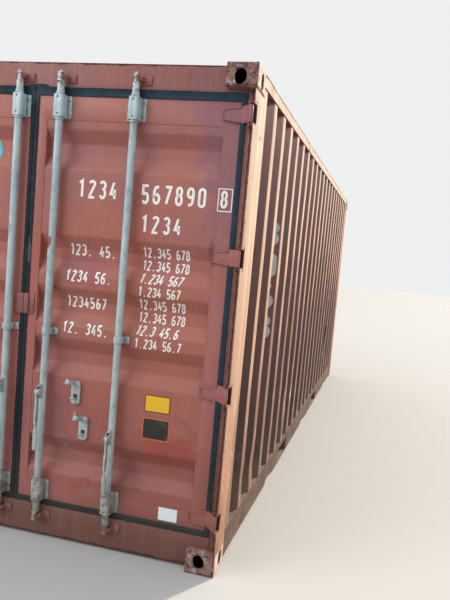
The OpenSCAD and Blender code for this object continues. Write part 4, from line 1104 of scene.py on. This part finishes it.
def frame_welds():
    """Beads where posts, header and sill meet the corner castings."""
    bm = bmesh.new()
    top_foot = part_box("top_corner_castings")[0][Z]
    base_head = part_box("bottom_corner_castings")[1][Z]
    (door_x0, inner_y, _), (door_x1, side_y, _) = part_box("door_post_right")
    front_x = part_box("front_posts")[0][X]
    near_side = side_y - CUT_CORNER
    for sign in (1, -1):
        for z in (top_foot, base_head):
            bead(bm, [(door_x1, sign * inner_y, z), (door_x1, sign * near_side, z),
                      (door_x1 - CUT_CORNER, sign * side_y, z),
                      (door_x0, sign * side_y, z)], 0.0045)
            bead(bm, [(front_x, sign * (side_y - POST_WIDTH), z), (front_x, sign * near_side, z),
                      (front_x + CUT_CORNER, sign * side_y, z),
                      (front_x + POST_DEPTH, sign * side_y, z)], 0.0045)
        for node, z0, z1 in (("door_header", top_foot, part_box("door_header")[1][Z]),
                             ("door_sill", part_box("door_sill")[0][Z], base_head)):
            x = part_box(node)[1][X]
            bead(bm, [(x, sign * CROSS_END_Y, z0), (x, sign * CROSS_END_Y, z1)], 0.004)
    seat(finish_mesh(bm, "frame_welds", WELD, 60), "container", "frame_paint")


# Light and floor


SUN_HEADING, SUN_HEIGHT = 150, 26
KEY_AT = Vector((9.5, -6.5, 6.5))
KEY_AIM = Vector((2.9, 0.2, 1.2))
SKY_LOW = (0.42, 0.42, 0.43, 1)
SKY_HIGH = (1.06, 1.10, 1.18, 1)
BACKDROP = (0.86, 0.87, 0.87, 1)
FLOOR_LIT = "85857f"
FLOOR_SEEN = "b9b9b5"


def lamp(name, kind, energy, colour, towards, **sets):
    """Lamp whose light comes from a direction."""
    data = bpy.data.lights.new(name, kind)
    data.energy = energy
    data.color = colour
    for key, value in sets.items():
        setattr(data, key, value)
    made = add(bpy.data.objects.new(name, data))
    made.rotation_mode = "QUATERNION"
    made.rotation_quaternion = towards.to_track_quat("Z", "Y")
    return made


def make_light():
    """Low sun on the right side, a broad lamp on the doors and a pale sky."""
    lamp("sun", "SUN", 5.0, (1.0, 0.88, 0.74), direction(SUN_HEADING, SUN_HEIGHT),
         angle=math.radians(4))
    key = lamp("key", "AREA", 520, (0.95, 0.98, 1.0), KEY_AT - KEY_AIM, shape="DISK", size=8)
    key.location = KEY_AT
    world = bpy.data.worlds.new("world")
    bpy.context.scene.world = world
    world.use_nodes = True
    g = Graph(world.node_tree)
    height = g.parts(g.node("ShaderNodeTexCoord").outputs["Generated"])[Z]
    sky = g.mix(SKY_LOW, SKY_HIGH, g.step(height, -0.1, 0.9))
    g.put(g.tree.nodes["Background"].inputs["Color"], g.mix(sky, BACKDROP, g.background_seen()))


def make_floor():
    """Plain pale floor, darker to the light that it throws back."""
    bm = bmesh.new()
    bmesh.ops.create_grid(bm, x_segments=1, y_segments=1, size=40)
    g = Finish("floor_pale")
    colour = g.mix(tint(FLOOR_LIT), tint(FLOOR_SEEN), g.background_seen())
    floor = finish_mesh(bm, "floor", g.done(colour, 0.9))
    floor.location.z = -0.0005


def build():
    """Makes the whole scene."""
    make_camera()
    make_light()
    make_floor()
    dress_nodes()
    for width, segments, nodes in ROUNDED:
        for node in nodes:
            polish(node, width, segments)
    castings("top_corner_castings")
    castings("bottom_corner_castings")
    side_figures(side_wall("side_wall_right", 1))
    side_wall("side_wall_left", -1)
    bottom_rails()
    front_wall()
    roof()
    for side in SIDES:
        door_panel(side)
        door_seal(side)
        hinge_blades(side)
        gear_bolts(side)
    door_figures()
    door_films()
    lap_dots()
    frame_welds()


build()
bpy.context.scene.view_settings.view_transform = "Standard"
